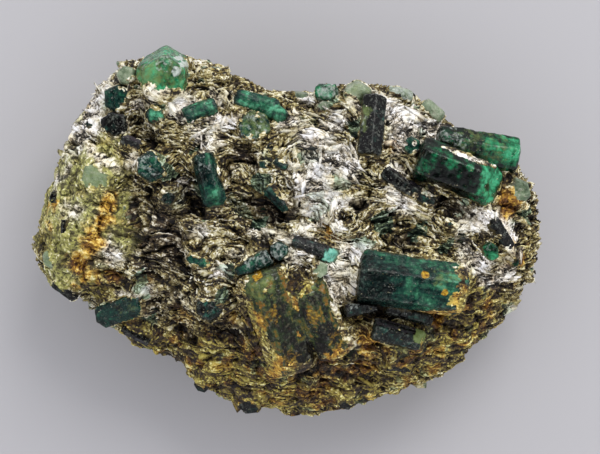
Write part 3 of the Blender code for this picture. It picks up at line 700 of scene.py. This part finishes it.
def make_ribbons(name, material, surface, tree, wanted, rng):
    """Edges of steep layers: thin wavy fins that follow the layers along the surface, as one mesh."""
    count, steps = RIBBONS, RIBBON_STEPS
    start, faces = surface.sample(wanted, count, rng)
    foliation = unit(surface.of_faces(surface.foliation))
    steady = unit(0.25 * surface.normals + np.array((0.0, 0.0, 0.75)))
    ways = unit(np.cross(steady, foliation))
    places = np.empty((count, steps + 1, 3))
    normals = np.empty((count, steps + 1, 3))
    leans = np.empty((count, steps + 1, 3))
    heading = ways[faces] * rng.choice((-1.0, 1.0), count)[:, None]
    here, up = start, surface.normals[faces]
    for step in range(steps + 1):
        places[:, step], normals[:, step] = here, up
        leans[:, step] = foliation[faces]
        way = ways[faces] * np.sign(np.sum(ways[faces] * heading, axis=1))[:, None]
        heading = unit(0.35 * heading + 0.65 * way)
        ahead = here + heading * RIBBON_STEP
        found = [tree.find_nearest(Vector(p)) for p in ahead]
        here = np.array([f[0] for f in found])
        faces = np.array([f[2] for f in found])
        up = unit(0.7 * up + 0.3 * surface.normals[faces])
    places = soften(soften(places))
    normals = unit(soften(normals))
    leans *= np.sign(np.sum(leans * normals, axis=2))[..., None]
    stand = unit(0.55 * normals + 0.85 * unit(soften(leans)))
    side = unit(np.cross(stand, np.gradient(places, axis=1)))
    share = np.linspace(0, 1, steps + 1)[None]
    fade = np.minimum(1, 4 * np.minimum(share, 1 - share) + 0.15)
    uneven = 1 + 0.4 * rng.normal(0, 1, (count, steps + 1))
    height = rng.uniform(0.20, 0.42, (count, 1)) * fade * np.clip(uneven, 0.4, 1.6)
    thick = rng.uniform(0.05, 0.12, (count, 1)) * fade
    base = places - 0.12 * normals
    rows = [base - side * thick[..., None], base + side * thick[..., None],
            places + stand * height[..., None]]  # fmt: skip
    points = np.stack(rows, axis=2)
    each = 3 * (steps + 1)
    first = (np.arange(count) * each)[:, None, None]
    ring = 3 * np.arange(steps)[None, :, None]
    quads = []
    for a, b in ((0, 1), (1, 2), (2, 0)):
        low, high = first + ring + a, first + ring + b
        quads.append(np.concatenate([low, high, high + 3], axis=2).reshape(-1, 3))
        quads.append(np.concatenate([low, high + 3, low + 3], axis=2).reshape(-1, 3))
    head = first[:, 0] + np.array([[2, 1, 0]])
    tail = first[:, 0] + 3 * steps + np.array([[0, 1, 2]])
    points = points.reshape(-1, 3)
    points[:, 2] = np.maximum(points[:, 2], 0.02)
    ribbons = new_mesh_object(name, points, np.concatenate([*quads, head, tail]), material)
    tone = rng.beta(1.8, 1.6, (count, 1)) + 0.12 * rng.normal(0, 1, (count, steps + 1))
    # Painted shade: the foot of each fin darker, its crest lighter.
    rowed = np.stack([tone - 0.3, tone - 0.3, tone + 0.1], axis=2)
    put_values(ribbons.data, "tone", np.clip(rowed, 0, 1).ravel())
    put_values(ribbons.data, "layer", np.repeat(rng.uniform(0, 40, count), each))
    picked = np.array([tree.find_nearest(Vector(p))[2] for p in places[:, steps // 2]])
    for kind, share in surface.weights.items():
        put_values(ribbons.data, kind, np.repeat(surface.of_faces(share)[picked], each))
    return ribbons


def soften(rows):
    """Each row of points with every point moved toward the middle of its neighbours."""
    inner = (rows[:, :-2] + 2 * rows[:, 1:-1] + rows[:, 2:]) / 4
    return np.concatenate([rows[:, :1], inner, rows[:, -1:]], axis=1)


def new_mesh_object(name, points, faces, material):
    mesh = bpy.data.meshes.new(name)
    mesh.vertices.add(len(points))
    mesh.loops.add(len(faces) * 3)
    mesh.polygons.add(len(faces))
    mesh.loops.foreach_set("vertex_index", faces.astype(np.int32).ravel())
    mesh.polygons.foreach_set("loop_start", np.arange(len(faces), dtype=np.int32) * 3)
    mesh.polygons.foreach_set("loop_total", np.full(len(faces), 3, np.int32))
    put_points(mesh, points)
    mesh.update(calc_edges=True)
    mesh.validate()
    mesh.materials.append(material)
    obj = bpy.data.objects.new(name, mesh)
    bpy.context.scene.collection.objects.link(obj)
    return obj


class Nodes:
    """Short ways to add nodes to one material."""

    def __init__(self, name):
        self.material = bpy.data.materials.new(name)
        self.material.use_nodes = True
        self.tree = self.material.node_tree
        self.shader = self.tree.nodes["Principled BSDF"]
        self.output = self.tree.nodes["Material Output"]
        self.place = self.tree.nodes.new("ShaderNodeTexCoord").outputs["Object"]

    def add(self, kind, links=None, **settings):
        node = self.tree.nodes.new(kind)
        for key, value in settings.items():
            setattr(node, key, value)
        for socket, source in (links or {}).items():
            self.join(source, node.inputs[socket])
        return node

    def join(self, source, socket):
        if isinstance(source, bpy.types.NodeSocket):
            self.tree.links.new(source, socket)
        else:
            socket.default_value = source

    def value(self, name):
        """An attribute of the mesh."""
        return self.add("ShaderNodeAttribute", attribute_name=name).outputs["Fac"]

    def split(self, vector):
        return self.add("ShaderNodeSeparateXYZ", {"Vector": vector}).outputs

    def math(self, operation, *values, clamp=False):
        links = dict(enumerate(values))
        return self.add("ShaderNodeMath", links, operation=operation, use_clamp=clamp).outputs[0]

    def noise(self, wavelength, detail=2.0, roughness=0.55, distortion=0.0, place=None):
        """Noise from about 0 to 1. wavelength is in millimetres."""
        links = {"Vector": place or self.place, "Scale": 1 / (wavelength * MM), "Detail": detail,
                 "Roughness": roughness, "Distortion": distortion}  # fmt: skip
        return self.add("ShaderNodeTexNoise", links).outputs["Fac"]

    def ramp(self, fac, stops, smooth=False):
        node = self.add("ShaderNodeValToRGB", {"Fac": fac})
        elements = node.color_ramp.elements
        while len(elements) < len(stops):
            elements.new(0.5)
        for element, (share, colour) in zip(elements, stops):
            element.position = share
            element.color = (*colour, 1)
        node.color_ramp.interpolation = "EASE" if smooth else "LINEAR"
        return node.outputs["Color"]

    def grade(self, fac, low, high, at_low=0.0, at_high=1.0):
        """fac moved from the range low to high onto at_low to at_high, and kept there."""
        links = {"Value": fac, "From Min": low, "From Max": high, "To Min": at_low, "To Max": at_high}
        return self.add("ShaderNodeMapRange", links, clamp=True).outputs["Result"]

    def mix(self, fac, a, b, blend="MIX"):
        node = self.add("ShaderNodeMix", data_type="RGBA", blend_type=blend)
        self.join(fac, node.inputs[0])
        self.join(a, node.inputs[6])
        self.join(b, node.inputs[7])
        return node.outputs[2]

    def spotted(self, name, place, wavelength):
        """A mark of the mesh, broken up by noise where it is weak."""
        broken = self.math("MULTIPLY_ADD", self.noise(wavelength, 3.0, 0.65, 0.0, place), 1.2, -1.1)
        return self.grade(self.math("ADD", self.value(name), broken), -0.05, 0.35)

    def bump(self, height, depth, strength=1.0, normal=None):
        """Bump whose height of 0 to 1 stands for depth in millimetres."""
        links = {"Height": height, "Distance": depth * MM, "Strength": strength}
        if normal:
            links["Normal"] = normal
        return self.add("ShaderNodeBump", links).outputs["Normal"]

    def set(self, **inputs):
        for name, source in inputs.items():
            self.join(source, self.shader.inputs[name.replace("_", " ")])
        return self.material


def mica_look(nodes, mottle, tilt):
    """(colour, roughness, normal) of mica schist, in flakes that each catch the light their own way.

    mottle is how far the flakes differ in tone, and tilt how far they turn the surface."""
    x, y, _ = nodes.split(nodes.place)
    layer = nodes.value("layer")
    kinds = {kind: nodes.value(kind) for kind in ZONE_KINDS}
    normal = nodes.add("ShaderNodeNewGeometry").outputs["Normal"]
    massive = nodes.math("MAXIMUM", kinds["talc"], nodes.math("MULTIPLY", kinds["mustard"], 0.5))
    massive = nodes.math("MAXIMUM", massive, kinds["rust"])
    flaky = nodes.math("MULTIPLY_ADD", massive, -0.7, 1.0)
    smoother = nodes.math("MULTIPLY_ADD", kinds["silver"], -0.35, 1.0)
    flaky = nodes.math("MULTIPLY", flaky, smoother)

    def stretched(length, layers):
        return nodes.add("ShaderNodeCombineXYZ", {
            "X": nodes.math("MULTIPLY", x, 1 / (length * MM)),
            "Y": nodes.math("MULTIPLY", y, 1 / (length * MM)),
            "Z": nodes.math("DIVIDE", layer, layers),
        }).outputs[0]  # fmt: skip

    def shifted(tone, share, amount, weight=None):
        step = nodes.math("MULTIPLY", nodes.math("SUBTRACT", share, 0.5), amount)
        if weight is not None:
            step = nodes.math("MULTIPLY", step, weight)
        return nodes.math("ADD", tone, step)

    tone = nodes.value("tone")
    textures = ((4.5, 0.34, 0.60), (1.5, 0.60, 0.40), (0.50, 0.40, 0.35))
    for length, layers, share in textures:
        cells = nodes.add("ShaderNodeTexVoronoi", {"Vector": stretched(length, layers), "Scale": 1.0})
        tone = shifted(tone, nodes.split(cells.outputs["Color"])[0], 1.3 * mottle * share, flaky)
        turn = nodes.add("ShaderNodeVectorMath", {0: cells.outputs["Color"], 1: (0.5, 0.5, 0.5)},
                         operation="SUBTRACT").outputs[0]  # fmt: skip
        lean = nodes.math("MULTIPLY", smoother, tilt)
        lean = nodes.add("ShaderNodeCombineXYZ", {"X": lean, "Y": lean, "Z": lean}).outputs[0]
        normal = nodes.add("ShaderNodeVectorMath", {0: turn, 1: lean, 2: normal},
                           operation="MULTIPLY_ADD").outputs[0]  # fmt: skip
    jitter = nodes.add("ShaderNodeTexNoise",
                       {"Vector": nodes.place, "Scale": 1 / (1.2 * MM), "Detail": 4.0})  # fmt: skip
    bent = nodes.add("ShaderNodeVectorMath", {0: jitter.outputs["Color"], 1: (1.8 * MM,) * 3, 2: nodes.place},
                     operation="MULTIPLY_ADD").outputs[0]  # fmt: skip
    sheets_at = {"Vector": bent, "Scale": 1 / (2.5 * MM)}
    wide = nodes.add("ShaderNodeTexVoronoi", sheets_at)
    rift = nodes.add("ShaderNodeTexVoronoi", sheets_at, feature="DISTANCE_TO_EDGE").outputs["Distance"]
    tone = shifted(tone, nodes.split(wide.outputs["Color"])[1], 0.9, kinds["silver"])
    rift = nodes.math("MULTIPLY", nodes.grade(rift, 0.0, 0.05, 0.45, 0.0), kinds["silver"])
    tone = nodes.math("SUBTRACT", tone, rift)
    vein = nodes.math("ABSOLUTE", nodes.math("SUBTRACT", nodes.noise(1.3, 5.0, 0.6, 0.6), 0.5))
    vein = nodes.math("MULTIPLY", nodes.grade(vein, 0.0, 0.022, 0.45, 0.0), kinds["silver"])
    # Silvery mica lifted lighter: partly painted glare.
    tone = nodes.math("SUBTRACT", nodes.math("MULTIPLY_ADD", kinds["silver"], 0.25, tone), vein)
    # Painted glints: a few tiny cells turned white as glints of mica, and a few turned dark as dark specks.
    painted_glints_and_specks = nodes.add("ShaderNodeTexVoronoi", {"Vector": nodes.place, "Scale": 1 / (0.32 * MM)})
    painted_glint_and_speck = nodes.split(painted_glints_and_specks.outputs["Color"])[2]
    tone = nodes.math("ADD", tone, nodes.grade(painted_glint_and_speck, 0.86, 0.88, 0.0, 0.40 * mottle))
    tone = nodes.math("SUBTRACT", tone, nodes.grade(painted_glint_and_speck, 0.14, 0.12, 0.0, 0.40 * mottle))
    granules = nodes.add("ShaderNodeTexVoronoi", {"Vector": nodes.place, "Scale": 1 / (0.5 * MM)})
    tone = shifted(tone, nodes.split(granules.outputs["Color"])[1], 0.55,
                   nodes.math("MAXIMUM", kinds["talc"], nodes.math("MULTIPLY", kinds["silver"], 0.10)))
    golden = nodes.math("MULTIPLY", kinds["talc"], kinds["rust"])
    tone = nodes.math("MULTIPLY_ADD", golden, 0.30, tone)
    grain = nodes.noise(0.28, 3.0, 0.65)
    tone = shifted(tone, grain, 0.7 * mottle)
    drift = nodes.noise(3.5, 2.0, 0.5)
    tone = shifted(tone, nodes.noise(4.0, 3.0, 0.6), 0.7, kinds["mustard"])
    tone = nodes.math("ADD", shifted(tone, drift, 0.35), 0.0, clamp=True)
    colour = nodes.ramp(tone, TONES["olive"])
    for kind in ("mustard", "talc", "silver", "dark", "rust"):
        colour = nodes.mix(kinds[kind], colour, nodes.ramp(tone, TONES[kind]))
    tint = nodes.grade(nodes.noise(5.0, 2.0), 0.40, 0.62)
    colour = nodes.mix(nodes.math("MULTIPLY", tint, 0.45), colour, (0.80, 0.74, 0.42, 1), "MULTIPLY")
    tan = nodes.grade(nodes.noise(1.5, 3.0, 0.6, 0.4), 0.50, 0.62, 0.0, 0.45)
    tan = nodes.math("MULTIPLY", tan, kinds["silver"])
    colour = nodes.mix(tan, colour, (0.74, 0.62, 0.38, 1), "MULTIPLY")
    chips = nodes.grade(nodes.split(wide.outputs["Color"])[2], 0.92, 0.94, 0.0, 0.75)
    chips = nodes.math("MULTIPLY", chips, nodes.math("SUBTRACT", 1.0, massive))
    chips = nodes.math("MULTIPLY", chips, nodes.math("MULTIPLY_ADD", kinds["silver"], -0.6, 1.0))
    green = nodes.ramp(tone, ((0.2, (0.005, 0.020, 0.013)), (0.5, (0.040, 0.110, 0.065)),
                              (0.9, (0.30, 0.48, 0.33))))  # fmt: skip
    colour = nodes.mix(chips, colour, green)
    roughness = nodes.grade(kinds["silver"], 0.0, 1.0, 0.62, 0.38)
    turned = nodes.add("ShaderNodeVectorMath", {0: normal}, operation="NORMALIZE").outputs[0]
    normal = nodes.bump(grain, 0.05, 1.0, turned)
    return colour, roughness, normal


def mica_material(name, mottle, tilt):
    nodes = Nodes(name)
    colour, roughness, normal = mica_look(nodes, mottle, tilt)
    return nodes.set(Base_Color=colour, Roughness=roughness, Specular_IOR_Level=0.3, Normal=normal)


def wear_crystal(node, crystals_skin, rng):
    """A crystal as it is after long wear: the CAD solid with worn edges, pits and an uneven skin."""
    mesh = node.data.copy()
    worn = bpy.data.objects.new("worn_" + node.name, mesh)
    bpy.context.scene.collection.objects.link(worn)
    points = points_of(mesh)
    spread = points - points.mean(axis=0)
    _, axes = np.linalg.eigh(spread.T @ spread)
    length = float(np.ptp(spread @ axes[:, 2]))
    voxel = min(0.26, max(0.13, 0.022 * length))
    add_modifier(worn, "REMESH", mode="VOXEL", voxel_size=voxel * MM)
    add_modifier(worn, "TRIANGULATE")
    bake_modifiers(worn)
    mesh = worn.data
    sharp, edges = points_of(mesh), edges_of(mesh)
    rub = smoothstep(-0.3, 0.5, rumple(sharp, 1.8, 21, 2))
    points = smooth(sharp, edges, 0.45 + 0.55 * rub, EDGE_WEAR_STEPS)
    put_points(mesh, points)
    normals = normals_of(mesh)
    edge = np.sum((sharp - points) * normals, axis=1)
    points = smooth(points, edges, np.ones(len(points)), ROUNDED.get(node.name, 0))
    swell = 0.09 * rumple(points, 2.4, 22, 2)
    pits = -0.09 * smoothstep(0.25, 0.6, rumple(points, 1.0, 23, 3))
    points += normals * (swell + pits)[:, None]
    points[:, 2] = np.maximum(points[:, 2], 0.05)
    put_points(mesh, points)
    own = points @ axes
    layer = mesh.attributes.new("own", "FLOAT_VECTOR", "POINT")
    layer.data.foreach_set("vector", (own * MM).astype(np.float32).ravel())
    found = [crystals_skin.find_nearest(Vector(p), 1.5) for p in points]
    gap = np.array([1.5 if f[0] is None else f[3] for f in found])
    crust = grow_crust(node.name, points, gap, 0.4 if node.name in BARE else 1.0)
    thick = CRUST * (0.6 + 0.8 * rumple(points, 0.9, 42, 2))
    points += normals * (crust * np.maximum(thick, 0.03))[:, None]
    points[:, 2] = np.maximum(points[:, 2], 0.05)
    put_points(mesh, points)
    put_values(mesh, "crust", crust)
    put_values(mesh, "tone", 0.45 + 0.2 * rumple(points, 1.1, 43, 2))
    put_values(mesh, "layer", plain_layer(points))
    for kind, share in zone_weights(points).items():
        put_values(mesh, kind, share)
    put_values(mesh, "edge", smoothstep(0.01, 0.10, edge))
    # Painted shade and grime: darker near the schist, half as much on the clear crystals.
    put_values(mesh, "painted_shade_and_grime", (1 - smoothstep(0.1, 1.0, gap)) * (0.5 if node.name in CLEAR else 1.0))
    put_values(mesh, "shade", np.full(len(points), rng.random()))
    # Painted sheen on the north sides: none on the clear crystals, weaker on the bare ones.
    painted_sheen = 0.0 if node.name in CLEAR else 0.35 if node.name in BARE else 1.0
    put_values(mesh, "painted_sheen", np.full(len(points), painted_sheen))
    put_spots(mesh, node.name, points)
    for polygon in mesh.polygons:
        polygon.use_smooth = True
    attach(worn, "root")
    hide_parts(node.name)
    return worn


def grow_crust(name, points, gap, share):
    """How far the schist covers a crystal at each point: along its foot, and in the patches of CRUSTS."""
    ragged = rumple(points, 1.7, 41, 3)
    crust = smoothstep(0.0, 0.3, CRUST_REACH * share * (1 + 1.3 * ragged) - gap)
    for ellipse in CRUSTS.get(name, ()):
        away = np.hypot(*place_in(points, *ellipse))
        crust = np.maximum(crust, 1 - smoothstep(0.85, 1.15, away + 0.55 * ragged))
    return crust


def put_spots(mesh, name, points):
    """Marks on one crystal, as values from 0 to 1 with ragged borders."""
    ragged = 0.45 * rumple(points, 1.4, 31, 3)
    for kind in SPOT_KINDS:
        share = np.zeros(len(points))
        for spot_kind, x, y, radius, strength in SPOTS.get(name, ()):
            if spot_kind == kind:
                away = np.hypot(points[:, 0] - x, points[:, 1] - y) / radius
                share = np.maximum(share, strength * (1 - smoothstep(0.6, 1.3, away + ragged)))
        put_values(mesh, kind, share)


def crystal_material(name, depths, streaks, skin, skin_share, dusty, painted_sheen_colour, relief, roughness, gloss,
                     transmission, glow, density):  # fmt: skip
    """Beryl: see-through, with bright and dark depths, cracks across it, and a weathered skin.

    depths is the ramp of its colours, the sheen colour is the grey of the painted sheen on its north sides,
    and glow and density are what it absorbs."""
    nodes = Nodes(name)
    own = nodes.add("ShaderNodeAttribute", attribute_name="own").outputs["Vector"]
    stretched = nodes.add("ShaderNodeMapping", {"Vector": own, "Scale": (1.0, 1.0, 0.12)}).outputs[0]
    squeezed = nodes.add("ShaderNodeMapping", {"Vector": own, "Scale": (0.25, 0.25, 1.0)}).outputs[0]
    depth = nodes.math("MULTIPLY", nodes.noise(2.6, 2.0, 0.5, 0.8, own), 0.78 - streaks[0])
    lines = nodes.noise(streaks[1], 3.0, 0.6, 0.0, stretched)
    depth = nodes.math("MULTIPLY_ADD", lines, streaks[0], depth)
    depth = nodes.math("MULTIPLY_ADD", nodes.noise(0.7, 2.0, 0.5, 0.3, squeezed), 0.22, depth)
    tilted = nodes.add("ShaderNodeNewGeometry").outputs["Normal"]
    for size, share, tilt in ((1.3, 0.10, 0.10), (0.5, 0.08, 0.16)):
        shards = nodes.add("ShaderNodeTexVoronoi", {"Vector": own, "Scale": 1 / (size * MM)})
        piece = nodes.split(shards.outputs["Color"])[0]
        depth = nodes.math("MULTIPLY_ADD", nodes.math("SUBTRACT", piece, 0.5), share, depth)
        turn = nodes.add("ShaderNodeVectorMath", {0: shards.outputs["Color"], 1: (0.5, 0.5, 0.5)},
                         operation="SUBTRACT").outputs[0]  # fmt: skip
        tilted = nodes.add("ShaderNodeVectorMath", {0: turn, 1: (tilt * relief,) * 3, 2: tilted},
                           operation="MULTIPLY_ADD").outputs[0]  # fmt: skip
    tilted = nodes.add("ShaderNodeVectorMath", {0: tilted}, operation="NORMALIZE").outputs[0]
    facing = nodes.split(nodes.add("ShaderNodeNewGeometry").outputs["Normal"])
    # Painted light: faces turned up a little lighter.
    depth = nodes.math("MULTIPLY_ADD", nodes.math("SUBTRACT", facing[2], 0.6), 0.06, depth)
    depth = nodes.math("MULTIPLY_ADD", nodes.math("SUBTRACT", nodes.value("shade"), 0.5), 0.10, depth)
    # Bright spots: clearer green, partly painted glow of light shining through the crystal.
    depth = nodes.math("MULTIPLY_ADD", nodes.value("bright"), 0.22, depth)
    depth = nodes.math("MULTIPLY_ADD", nodes.value("black"), -0.25, depth)
    colour = nodes.ramp(depth, depths)
    flecks = nodes.grade(nodes.noise(0.6, 4.0, 0.75, 0.0, own), 0.52, 0.62)
    flecks = nodes.math("MULTIPLY", flecks, nodes.grade(nodes.noise(2.0, 2.0, 0.5, 0.0, own), 0.38, 0.58))
    flecks = nodes.math("MULTIPLY", flecks, skin_share)
    colour = nodes.mix(flecks, colour, (*skin, 1))
    # Painted sheen: sides facing north turned grey, for the reflection of light from the north.
    painted_sheen = nodes.math("ADD", facing[1], nodes.noise(0.6, 3.0, 0.7, 0.0, stretched))
    painted_sheen = nodes.math("MULTIPLY", nodes.grade(painted_sheen, 1.05, 1.40, 0.0, 0.4), nodes.value("painted_sheen"))
    colour = nodes.mix(painted_sheen, colour, (*painted_sheen_colour, 1))
    dust = nodes.grade(nodes.noise(0.32, 3.0, 0.7, 0.0, own), 0.60, 0.68, 0.0, dusty)
    dust = nodes.math("MULTIPLY", dust, nodes.grade(nodes.noise(1.7, 2.0, 0.5, 0.0, own), 0.42, 0.60))
    colour = nodes.mix(dust, colour, (0.50, 0.52, 0.44, 1))
    # Light flecks along the edges: partly wear, partly painted highlight.
    wear_and_painted_highlight = nodes.grade(nodes.noise(0.7, 3.0, 0.6, 0.0, own), 0.48, 0.62, 0.0, 0.38)
    wear_and_painted_highlight = nodes.math("MULTIPLY", wear_and_painted_highlight, nodes.value("edge"))
    colour = nodes.mix(wear_and_painted_highlight, colour, (0.46, 0.50, 0.42, 1))
    moss = nodes.spotted("moss", own, 1.1)
    colour = nodes.mix(nodes.math("MULTIPLY", moss, 0.7), colour, (0.20, 0.27, 0.085, 1))
    # Pale spots: pale patches, some of them painted highlights.
    pale = nodes.spotted("pale", own, 0.7)
    colour = nodes.mix(nodes.math("MULTIPLY", pale, 0.85), colour, (0.66, 0.72, 0.66, 1))
    # Painted shade and grime: darker brown where the crystal meets the schist.
    painted_shade_and_grime = nodes.grade(nodes.math("ADD", nodes.value("painted_shade_and_grime"), nodes.noise(0.6, 3.0)), 0.80, 1.35)
    colour = nodes.mix(nodes.math("MULTIPLY", painted_shade_and_grime, 0.75), colour, (0.09, 0.07, 0.028, 1))
    ochre = nodes.grade(nodes.noise(0.5, 2.0), 0.35, 0.65)
    rust = nodes.mix(ochre, (0.16, 0.06, 0.008, 1), (0.60, 0.38, 0.04, 1))
    colour = nodes.mix(nodes.spotted("stain", own, 0.8), colour, rust)
    rough = nodes.grade(nodes.noise(0.7, 3.0), 0.35, 0.65, 0.5 * roughness, 1.9 * roughness)
    strands = nodes.noise(0.25, 2.0, 0.5, 0.0, stretched)
    normal = nodes.bump(strands, 0.06 * relief, 1.0, tilted)
    normal = nodes.bump(nodes.noise(0.45, 3.0), 0.07 * relief, 1.0, normal)
    absorption = nodes.add("ShaderNodeVolumeAbsorption", {"Color": (*glow, 1), "Density": density})
    nodes.join(absorption.outputs[0], nodes.output.inputs["Volume"])
    nodes.set(Base_Color=colour, Roughness=rough, Transmission_Weight=transmission, IOR=1.58,
              Specular_IOR_Level=gloss, Normal=normal)  # fmt: skip
    colour, rough, normal = mica_look(nodes, 0.7, 0.6)
    crust = nodes.add("ShaderNodeBsdfPrincipled",
                      {"Base Color": colour, "Roughness": rough, "Normal": normal,
                       "Specular IOR Level": 0.3})  # fmt: skip
    broken = nodes.math("MULTIPLY_ADD", nodes.noise(0.5, 3.0, 0.65), 2.0, -0.92)
    covered = nodes.grade(nodes.math("ADD", nodes.value("crust"), broken), 0.40, 0.60)
    both = nodes.add("ShaderNodeMixShader", {0: covered, 1: nodes.shader.outputs[0], 2: crust.outputs[0]})
    nodes.join(both.outputs[0], nodes.output.inputs["Surface"])
    return nodes.material


# Depths, share and width of streaks, skin colour and share, dust, painted sheen colour of the north sides,
# relief, roughness, gloss, transmission, absorbed glow and density of each kind of beryl.
CRYSTAL_KINDS = {
    "emerald_bright": (
        ((0.38, (0.0004, 0.001, 0.001)), (0.49, (0.001, 0.010, 0.005)), (0.57, (0.004, 0.060, 0.024)),
         (0.66, (0.011, 0.175, 0.068)), (0.80, (0.07, 0.50, 0.24))), (0.34, 0.8),
        (0.03, 0.065, 0.04), 0.30, 0.10, (0.06, 0.06, 0.045), 0.4, 0.10, 0.05, 0.25,
        (0.02, 0.46, 0.15), 1000.0),
    "emerald_deep": (
        ((0.38, (0.0005, 0.003, 0.003)), (0.48, (0.001, 0.012, 0.010)), (0.57, (0.005, 0.034, 0.025)),
         (0.67, (0.023, 0.115, 0.060)), (0.80, (0.11, 0.42, 0.24))), (0.34, 0.8),
        (0.07, 0.125, 0.095), 0.50, 0.35, (0.095, 0.10, 0.085), 0.6, 0.18, 0.04, 0.15,
        (0.02, 0.30, 0.15), 1300.0),
    "emerald_dark": (
        ((0.40, (0.001, 0.0007, 0.001)), (0.54, (0.004, 0.004, 0.004)), (0.64, (0.010, 0.020, 0.017)),
         (0.74, (0.03, 0.11, 0.08)), (0.84, (0.14, 0.45, 0.34)), (0.95, (0.30, 0.70, 0.55))), (0.34, 0.8),
        (0.12, 0.13, 0.11), 0.70, 0.30, (0.12, 0.10, 0.12), 0.35, 0.12, 0.07, 0.08,
        (0.02, 0.2, 0.11), 1500.0),
    "beryl_pale": (
        ((0.34, (0.055, 0.085, 0.045)), (0.46, (0.14, 0.20, 0.110)), (0.56, (0.27, 0.35, 0.21)),
         (0.70, (0.52, 0.58, 0.42))), (0.28, 0.8),
        (0.52, 0.52, 0.40), 0.70, 0.60, (0.42, 0.44, 0.36), 1.0, 0.34, 0.3, 0.3,
        (0.3, 0.6, 0.3), 400.0),
    "beryl_stained": (
        ((0.34, (0.004, 0.003, 0.002)), (0.42, (0.008, 0.013, 0.005)), (0.47, (0.020, 0.036, 0.012)),
         (0.51, (0.075, 0.080, 0.016)), (0.55, (0.14, 0.075, 0.010)), (0.60, (0.24, 0.11, 0.012)),
         (0.65, (0.07, 0.028, 0.008)), (0.74, (0.38, 0.27, 0.05))), (0.58, 1.3),
        (0.17, 0.16, 0.10), 0.40, 0.25, (0.09, 0.095, 0.07), 1.0, 0.40, 0.10, 0.1,
        (0.1, 0.3, 0.1), 600.0),
}


def dress_crystals(frame, schist_tree, rng):
    """Each CAD crystal is shown worn, with the look of its kind in the record."""
    materials = {kind: crystal_material(kind, *look) for kind, look in CRYSTAL_KINDS.items()}
    for name, node in sorted(frame["nodes"].items()):
        if name == MATRIX:
            continue
        kind = node.data.materials[0].name.split(".")[0]
        worn = wear_crystal(node, schist_tree, rng)
        worn.data.materials.clear()
        worn.data.materials.append(materials[kind])


def make_floor():
    bpy.ops.mesh.primitive_plane_add(size=3, location=(0, 0, 0))
    floor = bpy.context.object
    floor.name = "floor"
    nodes = Nodes("floor")
    tint = nodes.mix(nodes.noise(90.0, 1.0), (0.415, 0.41, 0.425, 1), (0.44, 0.434, 0.45, 1))
    floor.data.materials.append(nodes.set(Base_Color=tint, Roughness=0.7))


def make_light(name, place, size, power, colour=(1, 1, 1)):
    """A square softbox that looks at the specimen. place is in metres."""
    light = bpy.data.lights.new(name, "AREA")
    light.shape, light.size, light.energy, light.color = "SQUARE", size, power, colour
    obj = bpy.data.objects.new(name, light)
    obj.location = place
    obj.rotation_mode = "QUATERNION"
    obj.rotation_quaternion = (-Vector(place)).to_track_quat("-Z", "Y")
    bpy.context.scene.collection.objects.link(obj)


def make_studio():
    scene = bpy.context.scene
    scene.view_settings.view_transform = "Standard"
    world = bpy.data.worlds.new("studio")
    scene.world = world
    world.use_nodes = True
    nodes, links = world.node_tree.nodes, world.node_tree.links
    background = nodes["Background"]
    background.inputs["Color"].default_value = (0.95, 0.955, 1.0, 1)
    height = nodes.new("ShaderNodeSeparateXYZ")
    links.new(nodes.new("ShaderNodeTexCoord").outputs["Generated"], height.inputs[0])
    shade = nodes.new("ShaderNodeMapRange")
    links.new(height.outputs["Z"], shade.inputs["Value"])
    for name, value in (("From Min", 0.78), ("From Max", 0.94), ("To Min", 1.36), ("To Max", 0.12)):
        shade.inputs[name].default_value = value
    links.new(shade.outputs["Result"], background.inputs["Strength"])
    make_light("key", (0.32, 0.64, 0.62), 0.54, 4.9, (1.0, 0.985, 0.96))
    camera = bpy.data.objects.new("camera", bpy.data.cameras.new("camera"))
    camera.data.lens = CAMERA_LENS
    camera.data.sensor_width = CAMERA_SENSOR
    camera.location = Vector(CAMERA_PLACE) * MM
    camera.data.clip_start = 0.01
    scene.collection.objects.link(camera)
    scene.camera = camera


def main():
    for old in list(bpy.data.objects):
        bpy.data.objects.remove(old)
    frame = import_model()
    crystals = Crystals(frame["nodes"])
    schist, surface = make_schist(frame["nodes"][MATRIX], crystals)
    schist.data.materials.clear()
    schist.data.materials.append(mica_material("schist", 0.75, 0.8))
    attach(schist, "root")
    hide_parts(MATRIX)

    rng = np.random.default_rng(7)
    tree = BVHTree.FromPolygons([Vector(p) for p in surface.points], surface.triangles.tolist())
    outside = (surface.of_faces(surface.distance) > 0.2) & (surface.of_faces(surface.points)[:, 2] > 0.6)
    talc, rust, silver, dark, mustard = (surface.of_faces(surface.weights[k]) for k in ZONE_KINDS)
    mica = mica_material("mica", 0.35, 0.3)
    near = np.exp(-((surface.of_faces(surface.distance) / 0.7) ** 2))
    level = smoothstep(0.35, 0.65, surface.normals[:, 2])
    open_schist = (1 - talc) * (1 - rust) * (1 - 0.9 * mustard) * (1 - 0.6 * dark)
    strewn = outside * level * open_schist * (0.35 + 0.65 * silver + 0.5 * near)
    pieces = [make_plates("mica_plates", mica, surface, strewn, rng)]
    edged = outside * level * open_schist * (1 - 0.9 * silver)
    pieces.append(make_ribbons("mica_edges", mica, surface, tree, edged, rng))
    for piece in pieces:
        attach(piece, "root")

    dress_crystals(frame, tree, rng)
    make_floor()
    make_studio()


main()
